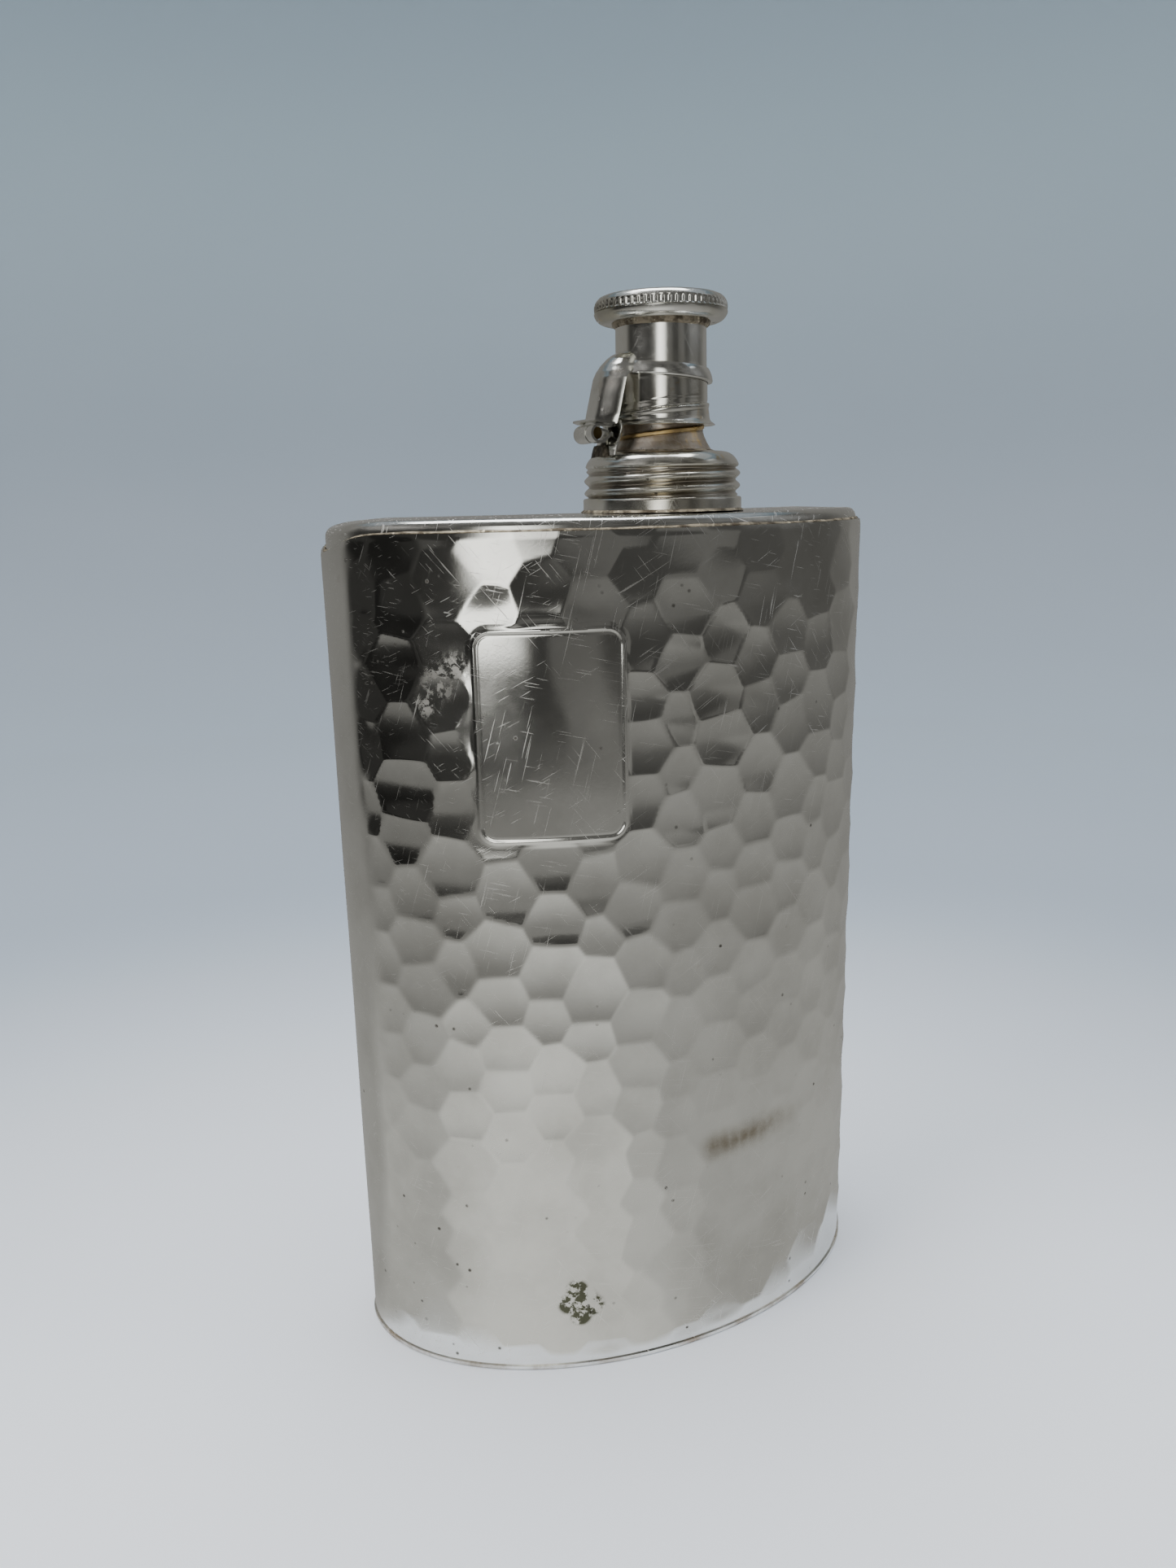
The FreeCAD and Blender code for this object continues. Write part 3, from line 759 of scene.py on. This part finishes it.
def make_pin():
    """Wire pin with old dirt packed round its ends inside the barrel; the whole pin is coloured dark as
    painted shade.
    """
    half = BARREL_HALF - 1.0
    wire, plug, tip = 0.56, 0.95, 0.25
    t = np.linspace(0, 2 * math.pi, 32, endpoint=False)
    near_end = [(-half, tip), (0.1 - half, plug), (0.5 - half, plug), (0.6 - half, wire)]
    far_end = [(-y, r) for y, r in reversed(near_end)]
    rows = []
    for y, r in near_end + far_end:
        x, z = NECK_X + HINGE_X + r * np.cos(t), RIM + HINGE_Z + r * np.sin(t)
        rows.append(np.c_[x, np.full(len(t), NECK_Y + y), z])
    last = (len(rows) - 1) * len(t)
    ends = [tuple(range(len(t) - 1, -1, -1)), tuple(range(last, last + len(t)))]
    faces = grid_faces(len(rows), len(t)) + ends
    pin = new_object("pin_wire", np.vstack(rows), faces, "flask")
    auto_smooth(pin, 40)
    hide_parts("hinge_pin")
    return pin


# ---- materials
class Nodes:
    """Short names for building a node tree."""

    def __init__(self, name):
        self.material = bpy.data.materials.new(name)
        self.material.use_nodes = True
        self.tree = self.material.node_tree
        self.shader = self.tree.nodes["Principled BSDF"]
        coordinate = self.tree.nodes.new("ShaderNodeTexCoord")
        self.place = coordinate.outputs["Object"]

    def add(self, kind):
        return self.tree.nodes.new(kind)

    def link(self, out, into):
        self.tree.links.new(out, into)

    def noise(self, scale, detail=4.0, rough=0.5, place=None):
        node = self.add("ShaderNodeTexNoise")
        node.inputs["Scale"].default_value = scale
        node.inputs["Detail"].default_value = detail
        node.inputs["Roughness"].default_value = rough
        self.link(place or self.place, node.inputs["Vector"])
        return node.outputs["Fac"]

    def drawn_out(self, rotation, scale):
        """The object's own coordinates, turned and drawn out along its axes."""
        mapping = self.add("ShaderNodeMapping")
        mapping.vector_type = "TEXTURE"
        mapping.inputs["Rotation"].default_value = rotation
        mapping.inputs["Scale"].default_value = scale
        self.link(self.place, mapping.inputs["Vector"])
        return mapping.outputs["Vector"]

    def cells(self, scale):
        """Distance from the nearest of many scattered points."""
        node = self.add("ShaderNodeTexVoronoi")
        node.inputs["Scale"].default_value = scale
        self.link(self.place, node.inputs["Vector"])
        return node.outputs["Distance"]

    def ramp(self, value, low, high, out_low=0.0, out_high=1.0):
        node = self.add("ShaderNodeMapRange")
        node.interpolation_type = "SMOOTHSTEP"
        self.link(value, node.inputs["Value"])
        node.inputs["From Min"].default_value = low
        node.inputs["From Max"].default_value = high
        node.inputs["To Min"].default_value = out_low
        node.inputs["To Max"].default_value = out_high
        return node.outputs["Result"]

    def math(self, operation, a, b):
        node = self.add("ShaderNodeMath")
        node.operation = operation
        self.feed(a, node.inputs[0])
        self.feed(b, node.inputs[1])
        return node.outputs[0]

    def times(self, a, b):
        return self.math("MULTIPLY", a, b)

    def mix(self, factor, a, b):
        """From colour a to colour b as the factor goes from 0 to 1."""
        node = self.add("ShaderNodeMix")
        node.data_type = "RGBA"
        self.feed(factor, node.inputs[0])
        self.feed(a, node.inputs[6])
        self.feed(b, node.inputs[7])
        return node.outputs[2]

    def feed(self, value, socket):
        """Set a socket to a number or a colour, or link it."""
        if isinstance(value, (int, float)):
            socket.default_value = value
        elif isinstance(value, tuple):
            socket.default_value = (*value, 1.0)
        else:
            self.link(value, socket)

    def attribute(self, name):
        node = self.add("ShaderNodeAttribute")
        node.attribute_name = name
        return node.outputs["Fac"]

    def bump(self, height, strength, distance, normal=None):
        node = self.add("ShaderNodeBump")
        node.inputs["Strength"].default_value = strength
        node.inputs["Distance"].default_value = distance
        self.link(height, node.inputs["Height"])
        if normal is not None:
            self.link(normal, node.inputs["Normal"])
        return node.outputs["Normal"]

    def distance(self, point):
        """Distance in metres from a point in millimetres on the object."""
        node = self.add("ShaderNodeVectorMath")
        node.operation = "DISTANCE"
        self.link(self.place, node.inputs[0])
        node.inputs[1].default_value = tuple(c * MM for c in point)
        return node.outputs["Value"]

    def near(self, point, radius):
        """1 at a point, falling to 0 at a radius, in millimetres."""
        return self.ramp(self.distance(point), 0.0, radius * MM, 1.0, 0.0)


SILVER = (0.83, 0.83, 0.80)
DULL = (0.66, 0.655, 0.625)
TARNISH = (0.33, 0.26, 0.18)
BRASS = (0.78, 0.56, 0.24)
GRIME = (0.055, 0.045, 0.035)
VERDIGRIS = (0.055, 0.06, 0.02)
SMEAR = (0.24, 0.19, 0.12)
SCUFF = (0.62, 0.60, 0.57)
RUBBED = (0.95, 0.94, 0.90)
SCRATCH = (0.95, 0.94, 0.92)
DIRT = (0.16, 0.11, 0.06)
WORN_BRASS = (0.36, 0.24, 0.10)


def scratches(n, density, seed):
    """Thin straight scratches in four directions, 1 on a scratch."""
    total = None
    for k, turn in enumerate((0.25, -0.65, 1.05, -1.35)):
        along = n.drawn_out((0.0, turn + 0.1 * seed, 0.0), (1.0, 9.0, 55.0))
        line = n.ramp(n.noise(density, 1.0, 0.4, along), 0.69, 0.73)
        patches = n.ramp(n.noise(70 + 30 * k, 2.0), 0.42, 0.58)
        line = n.times(line, patches)
        total = line if total is None else n.math("MAXIMUM", total, line)
    return total


def stain_mask(n, spots, strength, grain, softness):
    """Speckled patches round (point, radius) spots, at most 0.9."""
    mask = None
    for point, radius in spots:
        one = n.near(point, radius)
        mask = one if mask is None else n.math("MAXIMUM", mask, one)
    speck = n.ramp(n.noise(grain, 5.0, 0.7), 0.50 - softness, 0.52 + softness)
    mask = n.times(mask, speck)
    return n.math("MINIMUM", n.times(mask, strength), 0.9)


def silver(name, rough, tarnish, brass=0.0, seed=0.0, stains=(), wash=DULL, scored=1.0):
    """Worn silver plate: haze, stains, pits, scratches, brown tarnish.

    wash is the colour of its dull parts, and scored how strong its scratches are.
    """
    n = Nodes(name)
    haze = n.ramp(n.noise(42 + seed, 5.0, 0.6), 0.35, 0.70)
    colour = n.mix(haze, SILVER, wash)
    brown = n.ramp(n.noise(95 + seed, 6.0, 0.65), 0.72 - 0.35 * tarnish, 0.90 - 0.25 * tarnish)
    colour = n.mix(n.times(brown, 0.55 + 0.4 * tarnish), colour, TARNISH)
    if brass > 0:
        worn = n.ramp(n.noise(150 + seed, 4.0, 0.6), 0.70 - 0.3 * brass, 0.80 - 0.25 * brass)
        colour = n.mix(worn, colour, BRASS)
    colour = n.mix(n.times(n.attribute("ridge"), 0.10), colour, RUBBED)
    colour = n.mix(n.times(n.attribute("gold"), 0.85), colour, BRASS)
    colour = n.mix(n.times(n.attribute("dirt"), 0.55), colour, DIRT)
    pit = n.ramp(n.cells(330), 0.05, 0.14, 1.0, 0.0)
    pit = n.times(pit, n.ramp(n.noise(120, 2.0), 0.52, 0.62))
    colour = n.mix(n.times(pit, 0.85), colour, GRIME)
    lines = n.times(scratches(n, 5200, seed), scored)
    colour = n.mix(n.times(lines, 0.45), colour, SCRATCH)
    roughness = n.ramp(n.noise(60 + seed, 5.0, 0.62), 0.30, 0.75, rough * 0.6, rough * 1.7)
    for mark, share in ((lines, 0.22), (brown, 0.25), (pit, 0.4)):
        roughness = n.math("ADD", roughness, n.times(mark, share))
    for tint, *shape in stains:
        mask = stain_mask(n, *shape)
        colour = n.mix(mask, colour, tint)
        roughness = n.math("ADD", roughness, n.times(mask, 0.45))
    normal = n.bump(n.noise(900, 3.0, 0.6), 0.05, 0.00004)
    normal = n.bump(n.noise(2600, 2.0, 0.5), 0.06, 0.00002, normal)
    normal = n.bump(lines, -0.5, 0.00005, normal)
    normal = n.bump(pit, -0.5, 0.00006, normal)
    return finish(n, colour, roughness, normal, 1.0)


def finish(n, colour, roughness, normal, metallic):
    """Join a colour, roughness and normal to the shader."""
    n.shader.inputs["Metallic"].default_value = metallic
    n.link(colour, n.shader.inputs["Base Color"])
    n.feed(roughness, n.shader.inputs["Roughness"])
    n.link(normal, n.shader.inputs["Normal"])
    return n.material


def shades(tone, *tints):
    """Colours made darker by the same factor; a factor below 1 makes a copy with painted shade."""
    return [tuple(c * tone for c in tint) for tint in tints]


def solder(name, tone=1.0):
    """Dull grey-brown solder with grime in it."""
    n = Nodes(name)
    light, dark, speck = shades(tone, (0.36, 0.31, 0.23), (0.10, 0.08, 0.055), (0.66, 0.58, 0.42))
    colour = n.mix(n.ramp(n.noise(500, 5.0, 0.65), 0.40, 0.62), light, dark)
    colour = n.mix(n.ramp(n.noise(1300, 3.0), 0.6, 0.7), colour, speck)
    roughness = n.ramp(n.noise(700, 3.0), 0.3, 0.7, 0.35, 0.65)
    return finish(n, colour, roughness, n.bump(n.noise(1500, 4.0, 0.6), 0.6, 0.0002), 0.85)


def brass_metal(name, tone=1.0):
    """Brass with brown patches."""
    n = Nodes(name)
    bright, worn = shades(tone, BRASS, WORN_BRASS)
    colour = n.mix(n.ramp(n.noise(420, 5.0, 0.6), 0.4, 0.7), bright, worn)
    roughness = n.ramp(n.noise(300, 4.0), 0.3, 0.7, 0.2, 0.42)
    return finish(n, colour, roughness, n.bump(n.noise(2200, 3.0), 0.2, 0.00005), 1.0)


def cork(name):
    """Brown cork with dark grains."""
    n = Nodes(name)
    grains = n.cells(900)
    colour = n.mix(n.ramp(grains, 0.1, 0.6), (0.42, 0.27, 0.14), (0.20, 0.11, 0.05))
    colour = n.mix(n.ramp(n.noise(700, 4.0), 0.55, 0.66), colour, (0.08, 0.045, 0.02))
    return finish(n, colour, 0.85, n.bump(grains, 0.5, 0.0002), 0.0)


def paint(thing, material):
    thing.data.materials.clear()
    thing.data.materials.append(material)


# ---- stage
FLOOR_RADIUS = 620.0
BOWL_RADIUS = 1500.0
BOWL_TOP = 2400.0
# painted light and shade: the floor's colour goes by the distance from a place in front of the flask, light
# near it, darker further off and lighter again high on the bowl
LIGHT_POOL_MIDDLE = (-60.0, -140.0, 0.0)
LIGHT_FALLOFF_BANDS = (
    (0.10, 0.42, (0.33, 0.385, 0.45)),
    (0.50, 1.15, (0.335, 0.38, 0.43)),
    (1.50, 2.20, (0.46, 0.55, 0.60)),
)


def rings_of(profile, angle):
    """Rows of points turned about the Z axis from (r, z) pairs."""
    x, y = np.cos(angle), np.sin(angle)
    return np.array([np.c_[r * x, r * y, np.full(len(angle), z)] for r, z in profile])


def make_stage():
    """Pale dish that everything stands in, so that each side has a backdrop. Its colour holds painted light
    and shade that change with the distance from a place in front of the flask.
    """
    profile = [(0.0, 0.0), (FLOOR_RADIUS * 0.5, 0.0), (FLOOR_RADIUS, 0.0)]
    for k in range(1, 25):
        a = math.radians(90 * k / 24)
        profile.append((FLOOR_RADIUS + BOWL_RADIUS * math.sin(a), BOWL_RADIUS * (1 - math.cos(a))))
    profile.append((FLOOR_RADIUS + BOWL_RADIUS, BOWL_TOP))
    angle = np.linspace(0, 2 * math.pi, 96, endpoint=False)
    points = rings_of(profile, angle).reshape(-1, 3)
    backdrop = mesh_object("backdrop", points, grid_faces(len(profile), len(angle)))
    backdrop.data.shade_smooth()
    n = Nodes("backdrop")
    # painted light and shade: the colour steps from light near the flask to darker bands further off, then
    # lighter high up
    away = n.distance(LIGHT_POOL_MIDDLE)
    tone = (0.90, 0.915, 0.96)
    for start, end, colour in LIGHT_FALLOFF_BANDS:
        tone = n.mix(n.ramp(away, start, end), tone, colour)
    mottle = n.times(n.noise(4.0, 2.0), 0.05)
    n.link(n.mix(mottle, tone, (0.8, 0.82, 0.86)), n.shader.inputs["Base Color"])
    n.shader.inputs["Roughness"].default_value = 0.7
    paint(backdrop, n.material)


ROOM_RADIUS = 600.0
ROOM_WALL = 1000.0
ROOM_HALF_DEPTH = 21.0
SHEET_START = 1.012
SHEET_END = 440.0
SHEET_LIFT = 0.8
# a ray that would land further off than the horizon's reach counts as far away
EYE_HEIGHT = 110.0
FAR_AWAY = 40000.0


def fading(far, near_light, far_light, start, end):
    """Light of the pale sheet, fading with the distance from the flask."""
    return near_light + (far_light - near_light) * smooth_step(math.log(start), math.log(end), np.log(far))


def room_light(bearing, radius, height):
    """Light of the studio seen by the metal, by bearing and by place."""
    # the place on an endless floor that a ray through here would have reached
    shrink = np.maximum(1 - height / EYE_HEIGHT, 0.015)
    far = np.where(height < EYE_HEIGHT - 2.0, radius / shrink, FAR_AWAY)
    beyond = smooth_step(SHEET_END - 30.0, SHEET_END + 20.0, far)
    right = fading(far, 0.41, 0.10, 70.0, 1900.0)
    behind = fading(far, 0.38, 0.22, 60.0, 700.0)
    front = fading(far, 0.80, 0.25, 110.0, 330.0) * (1 - beyond) + 0.08 * beyond
    left = fading(far, 0.52, 0.20, 100.0, 400.0) * (1 - beyond) + 0.025 * beyond
    turn = np.mod(bearing + 20.0, 360.0) - 20.0
    light = right * (1 - smooth_step(-8.0, 25.0, turn)) + behind * smooth_step(-8.0, 25.0, turn)
    for side, start, end in ((left, 146.0, 164.0), (front, 200.0, 226.0), (right, 246.0, 292.0)):
        share = smooth_step(start, end, turn)
        light = light * (1 - share) + side * share
    # things standing about in the dark room
    sway = np.sin(np.radians(turn) * 11.0 + 1.2 * np.sin(height * 0.03))
    crowd = smooth_step(0.35, 0.65, 0.5 + 0.5 * sway)
    in_room = smooth_step(150.0, 165.0, turn) * (1 - smooth_step(300.0, 339.0, turn))
    light = light * (1 + smooth_step(500.0, 620.0, far) * in_room * (0.8 * crowd - 0.4))
    # a bright window on the camera's side
    centre = 236.0 + 10.0 * smooth_step(60.0, 220.0, height)
    window = np.exp(-(((turn - centre) / 11.5) ** 6)) * smooth_step(34.0, 52.0, height)
    window = window * (1 - smooth_step(480.0, 640.0, height))
    return light + 2.6 * window * (0.55 + 0.45 * np.exp(-(((turn - centre + 3.0) / 8.0) ** 2)))


def make_room():
    """Dark room round the studio floor, seen only in the metal."""
    bearings = np.linspace(0, 360, 361)
    a = np.radians(bearings)
    outer = [(r, SHEET_LIFT) for r in np.linspace(160, ROOM_RADIUS, 40)]
    outer += [(ROOM_RADIUS, z) for z in np.r_[np.linspace(4, 108, 40), np.linspace(115, ROOM_WALL, 60)]]
    outer += [(r, ROOM_WALL + 0.4 * (ROOM_RADIUS - r)) for r in np.linspace(580, 60, 24)]
    rows = rings_of(outer, a)
    # ovals round the flask that grow into the outer rings
    near = []
    for q in np.r_[SHEET_START, 1.04, 1.07, np.linspace(1.10, 3.0, 22)]:
        oval = np.c_[HALF_WIDTH * q * np.cos(a), ROOM_HALF_DEPTH * q * np.sin(a), np.full(len(a), 0.7)]
        share = (q - SHEET_START) / 2.07
        near.append(oval * (1 - share) + rows[0] * share)
    points = np.concatenate([near, rows])
    flat = points.reshape(-1, 3)
    room = mesh_object("room", flat, grid_faces(len(points), len(a), close_cols=False))
    radius = np.hypot(flat[:, 0], flat[:, 1])
    turn = np.tile(bearings, len(points))
    light = room_light(turn, radius, np.maximum(flat[:, 2] - SHEET_LIFT, 0.0))
    light = np.where(flat[:, 2] > ROOM_WALL, 0.12, light)
    oval = np.hypot(flat[:, 0] / HALF_WIDTH, flat[:, 1] / ROOM_HALF_DEPTH)
    solid = smooth_step(SHEET_START, 1.10, oval)
    # overhead it covers only the camera's side
    open_side = np.cos(np.radians(turn - 245.0)) < 0.1
    solid = np.where(open_side, solid * (1 - smooth_step(560.0, 760.0, flat[:, 2])), solid)
    set_attribute(room, "light", light)
    set_attribute(room, "solid", solid)
    n = Nodes("room")
    glow = n.add("ShaderNodeEmission")
    tint = n.mix(n.ramp(n.attribute("light"), 0.1, 0.6), (1.0, 0.985, 0.93), (1.0, 1.0, 0.95))
    n.link(tint, glow.inputs["Color"])
    n.link(n.attribute("light"), glow.inputs["Strength"])
    clear = n.add("ShaderNodeBsdfTransparent")
    blend = n.add("ShaderNodeMixShader")
    n.link(n.attribute("solid"), blend.inputs[0])
    n.link(clear.outputs[0], blend.inputs[1])
    n.link(glow.outputs[0], blend.inputs[2])
    out = n.tree.nodes["Material Output"]
    n.link(blend.outputs[0], out.inputs["Surface"])
    paint(room, n.material)
    for rays in ("camera", "diffuse", "shadow", "transmission"):
        setattr(room, "visible_" + rays, False)


def area_light(name, place, size, power, colour):
    """Round soft light aimed at the middle of the flask."""
    data = bpy.data.lights.new(name, "AREA")
    data.shape = "DISK"
    data.size = size
    data.energy = power
    data.color = colour
    lamp = bpy.data.objects.new(name, data)
    bpy.context.scene.collection.objects.link(lamp)
    lamp.location = place
    middle = Vector((0, 0, 0.08))
    lamp.rotation_euler = (middle - Vector(place)).to_track_quat("-Z", "Y").to_euler()


def make_lights():
    area_light("overhead", (0.0, 0.1, 1.5), 1.3, 26, (0.96, 0.98, 1.0))
    area_light("side", (-1.1, -0.2, 0.9), 0.7, 9, (1.0, 0.98, 0.95))
    area_light("fill", (1.2, -0.5, 0.7), 0.9, 5, (0.94, 0.97, 1.0))
    world = bpy.data.worlds.new("soft")
    bpy.context.scene.world = world
    world.use_nodes = True
    background = world.node_tree.nodes["Background"]
    background.inputs["Color"].default_value = (0.62, 0.68, 0.74, 1)
    background.inputs["Strength"].default_value = 0.55


# ---- camera
CAMERA_PLACE = Vector((-81.0, -182.2, 147.4)) * MM
CAMERA_AIM = Vector((-9.5, -4.15, 100.2)) * MM
CAMERA_ROLL = -1.23
CAMERA_WIDTH_RATIO = 1.00859


def make_camera():
    data = bpy.data.cameras.new("camera")
    data.sensor_fit = "HORIZONTAL"
    data.sensor_width = 36.0
    data.lens = 36.0 * CAMERA_WIDTH_RATIO
    data.clip_start = 0.01
    camera = bpy.data.objects.new("camera", data)
    bpy.context.scene.collection.objects.link(camera)
    look = (CAMERA_AIM - CAMERA_PLACE).to_track_quat("-Z", "Y").to_matrix()
    roll = Matrix.Rotation(math.radians(CAMERA_ROLL), 3, "Z")
    camera.rotation_euler = (look @ roll).to_euler()
    camera.location = CAMERA_PLACE
    bpy.context.scene.camera = camera


# ---- assembly
make_camera()
make_stage()
make_room()
make_lights()

wall = make_wall()
top = make_top()
rim_solder = make_rim_solder()
collar = make_collar()
neck = make_neck()
tube = make_tube()
knob = make_knob()
underside = make_underside()
arm = make_arm()
bracket = make_bracket()
lug = make_lug()
pin = make_pin()
solder_ring = make_solder_ring()

# stains on the wall: colour, (point, radius) spots, strength, grain, softness
front_y = TIPS_Y - FRONT_DEPTH
smear = [((6.5 + 2 * k, front_y + 0.3 + 0.09 * k * k, 37.3 + 0.1 * k), 4.0) for k in range(10)]
spot = [((-18.2, -17.9, 12.8), 3.6), ((-16.4, -18.3, 11.9), 2.6), ((-18.9, -17.8, 15.2), 2.4),
        ((-18.3, -17.9, 10.2), 2.4), ((-20.3, -17.4, 12.6), 2.4)]
scuff = [((-36.0, -10.1, 120.0), 4.5), ((-33.5, -11.9, 122.5), 3.5), ((-37.5, -8.9, 116.5), 3.0)]
stains = [(SCUFF, scuff, 1.0, 900.0, 0.08), (SMEAR, smear, 1.15, 110.0, 0.40),
          (VERDIGRIS, spot, 4.0, 520.0, 0.06)]

body_silver = silver("silver_wall", rough=0.09, tarnish=0.12, stains=stains)
plain_silver = silver("silver_plain", rough=0.15, tarnish=0.2, seed=0.7)
flare_silver = silver("silver_flare", rough=0.26, tarnish=0.95, brass=0.3, seed=3.3,
                      wash=(0.50, 0.40, 0.35), scored=0.3)
base_silver = silver("silver_base", rough=0.3, tarnish=0.9, seed=4.1)
# painted shade: solder at 0.3 for the lug in the shade under the hinge barrel
shaded_solder = solder("shaded_solder", 0.3)
# painted shade: brass at 0.15 for the pin in the shade inside the hinge barrel
shaded_brass = brass_metal("shaded_brass", 0.15)
neck_silver = silver("silver_neck", rough=0.17, tarnish=0.35, brass=0.2, seed=1.3,
                     wash=(0.68, 0.65, 0.56), scored=0.3)
arm_silver = silver("silver_arm", rough=0.17, tarnish=0.35, brass=0.1, seed=2.1,
                    wash=(0.58, 0.57, 0.52), scored=0.2)
# the knob's dark brownish wash is partly its tarnish and partly painted shade, dimming the underside's
# reflection of the bright floor
knob_silver = silver("silver_knob", rough=0.19, tarnish=0.40, brass=0.1, seed=5.2,
                     wash=(0.44, 0.42, 0.34), scored=0.3)
grey_solder = solder("solder_line")
bare_brass = brass_metal("bare_brass")
dark_cork = cork("cork")

paint(wall, body_silver)
paint(top, plain_silver)
paint(neck, flare_silver)
for piece in (collar, tube):
    paint(piece, neck_silver)
for piece in (knob, underside):
    paint(piece, knob_silver)
for piece in arm + bracket:
    paint(piece, arm_silver)
paint(lug, shaded_solder)
paint(solder_ring, grey_solder)
paint(rim_solder, grey_solder)
paint(pin, shaded_brass)
looks = {
    "base_plate": base_silver, "base_seam": grey_solder,
    "collar_solder": grey_solder, "neck_solder": grey_solder, "seal_plate": bare_brass,
    "cork_seal": dark_cork,
}
for node, material in looks.items():
    paint(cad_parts[node], material)
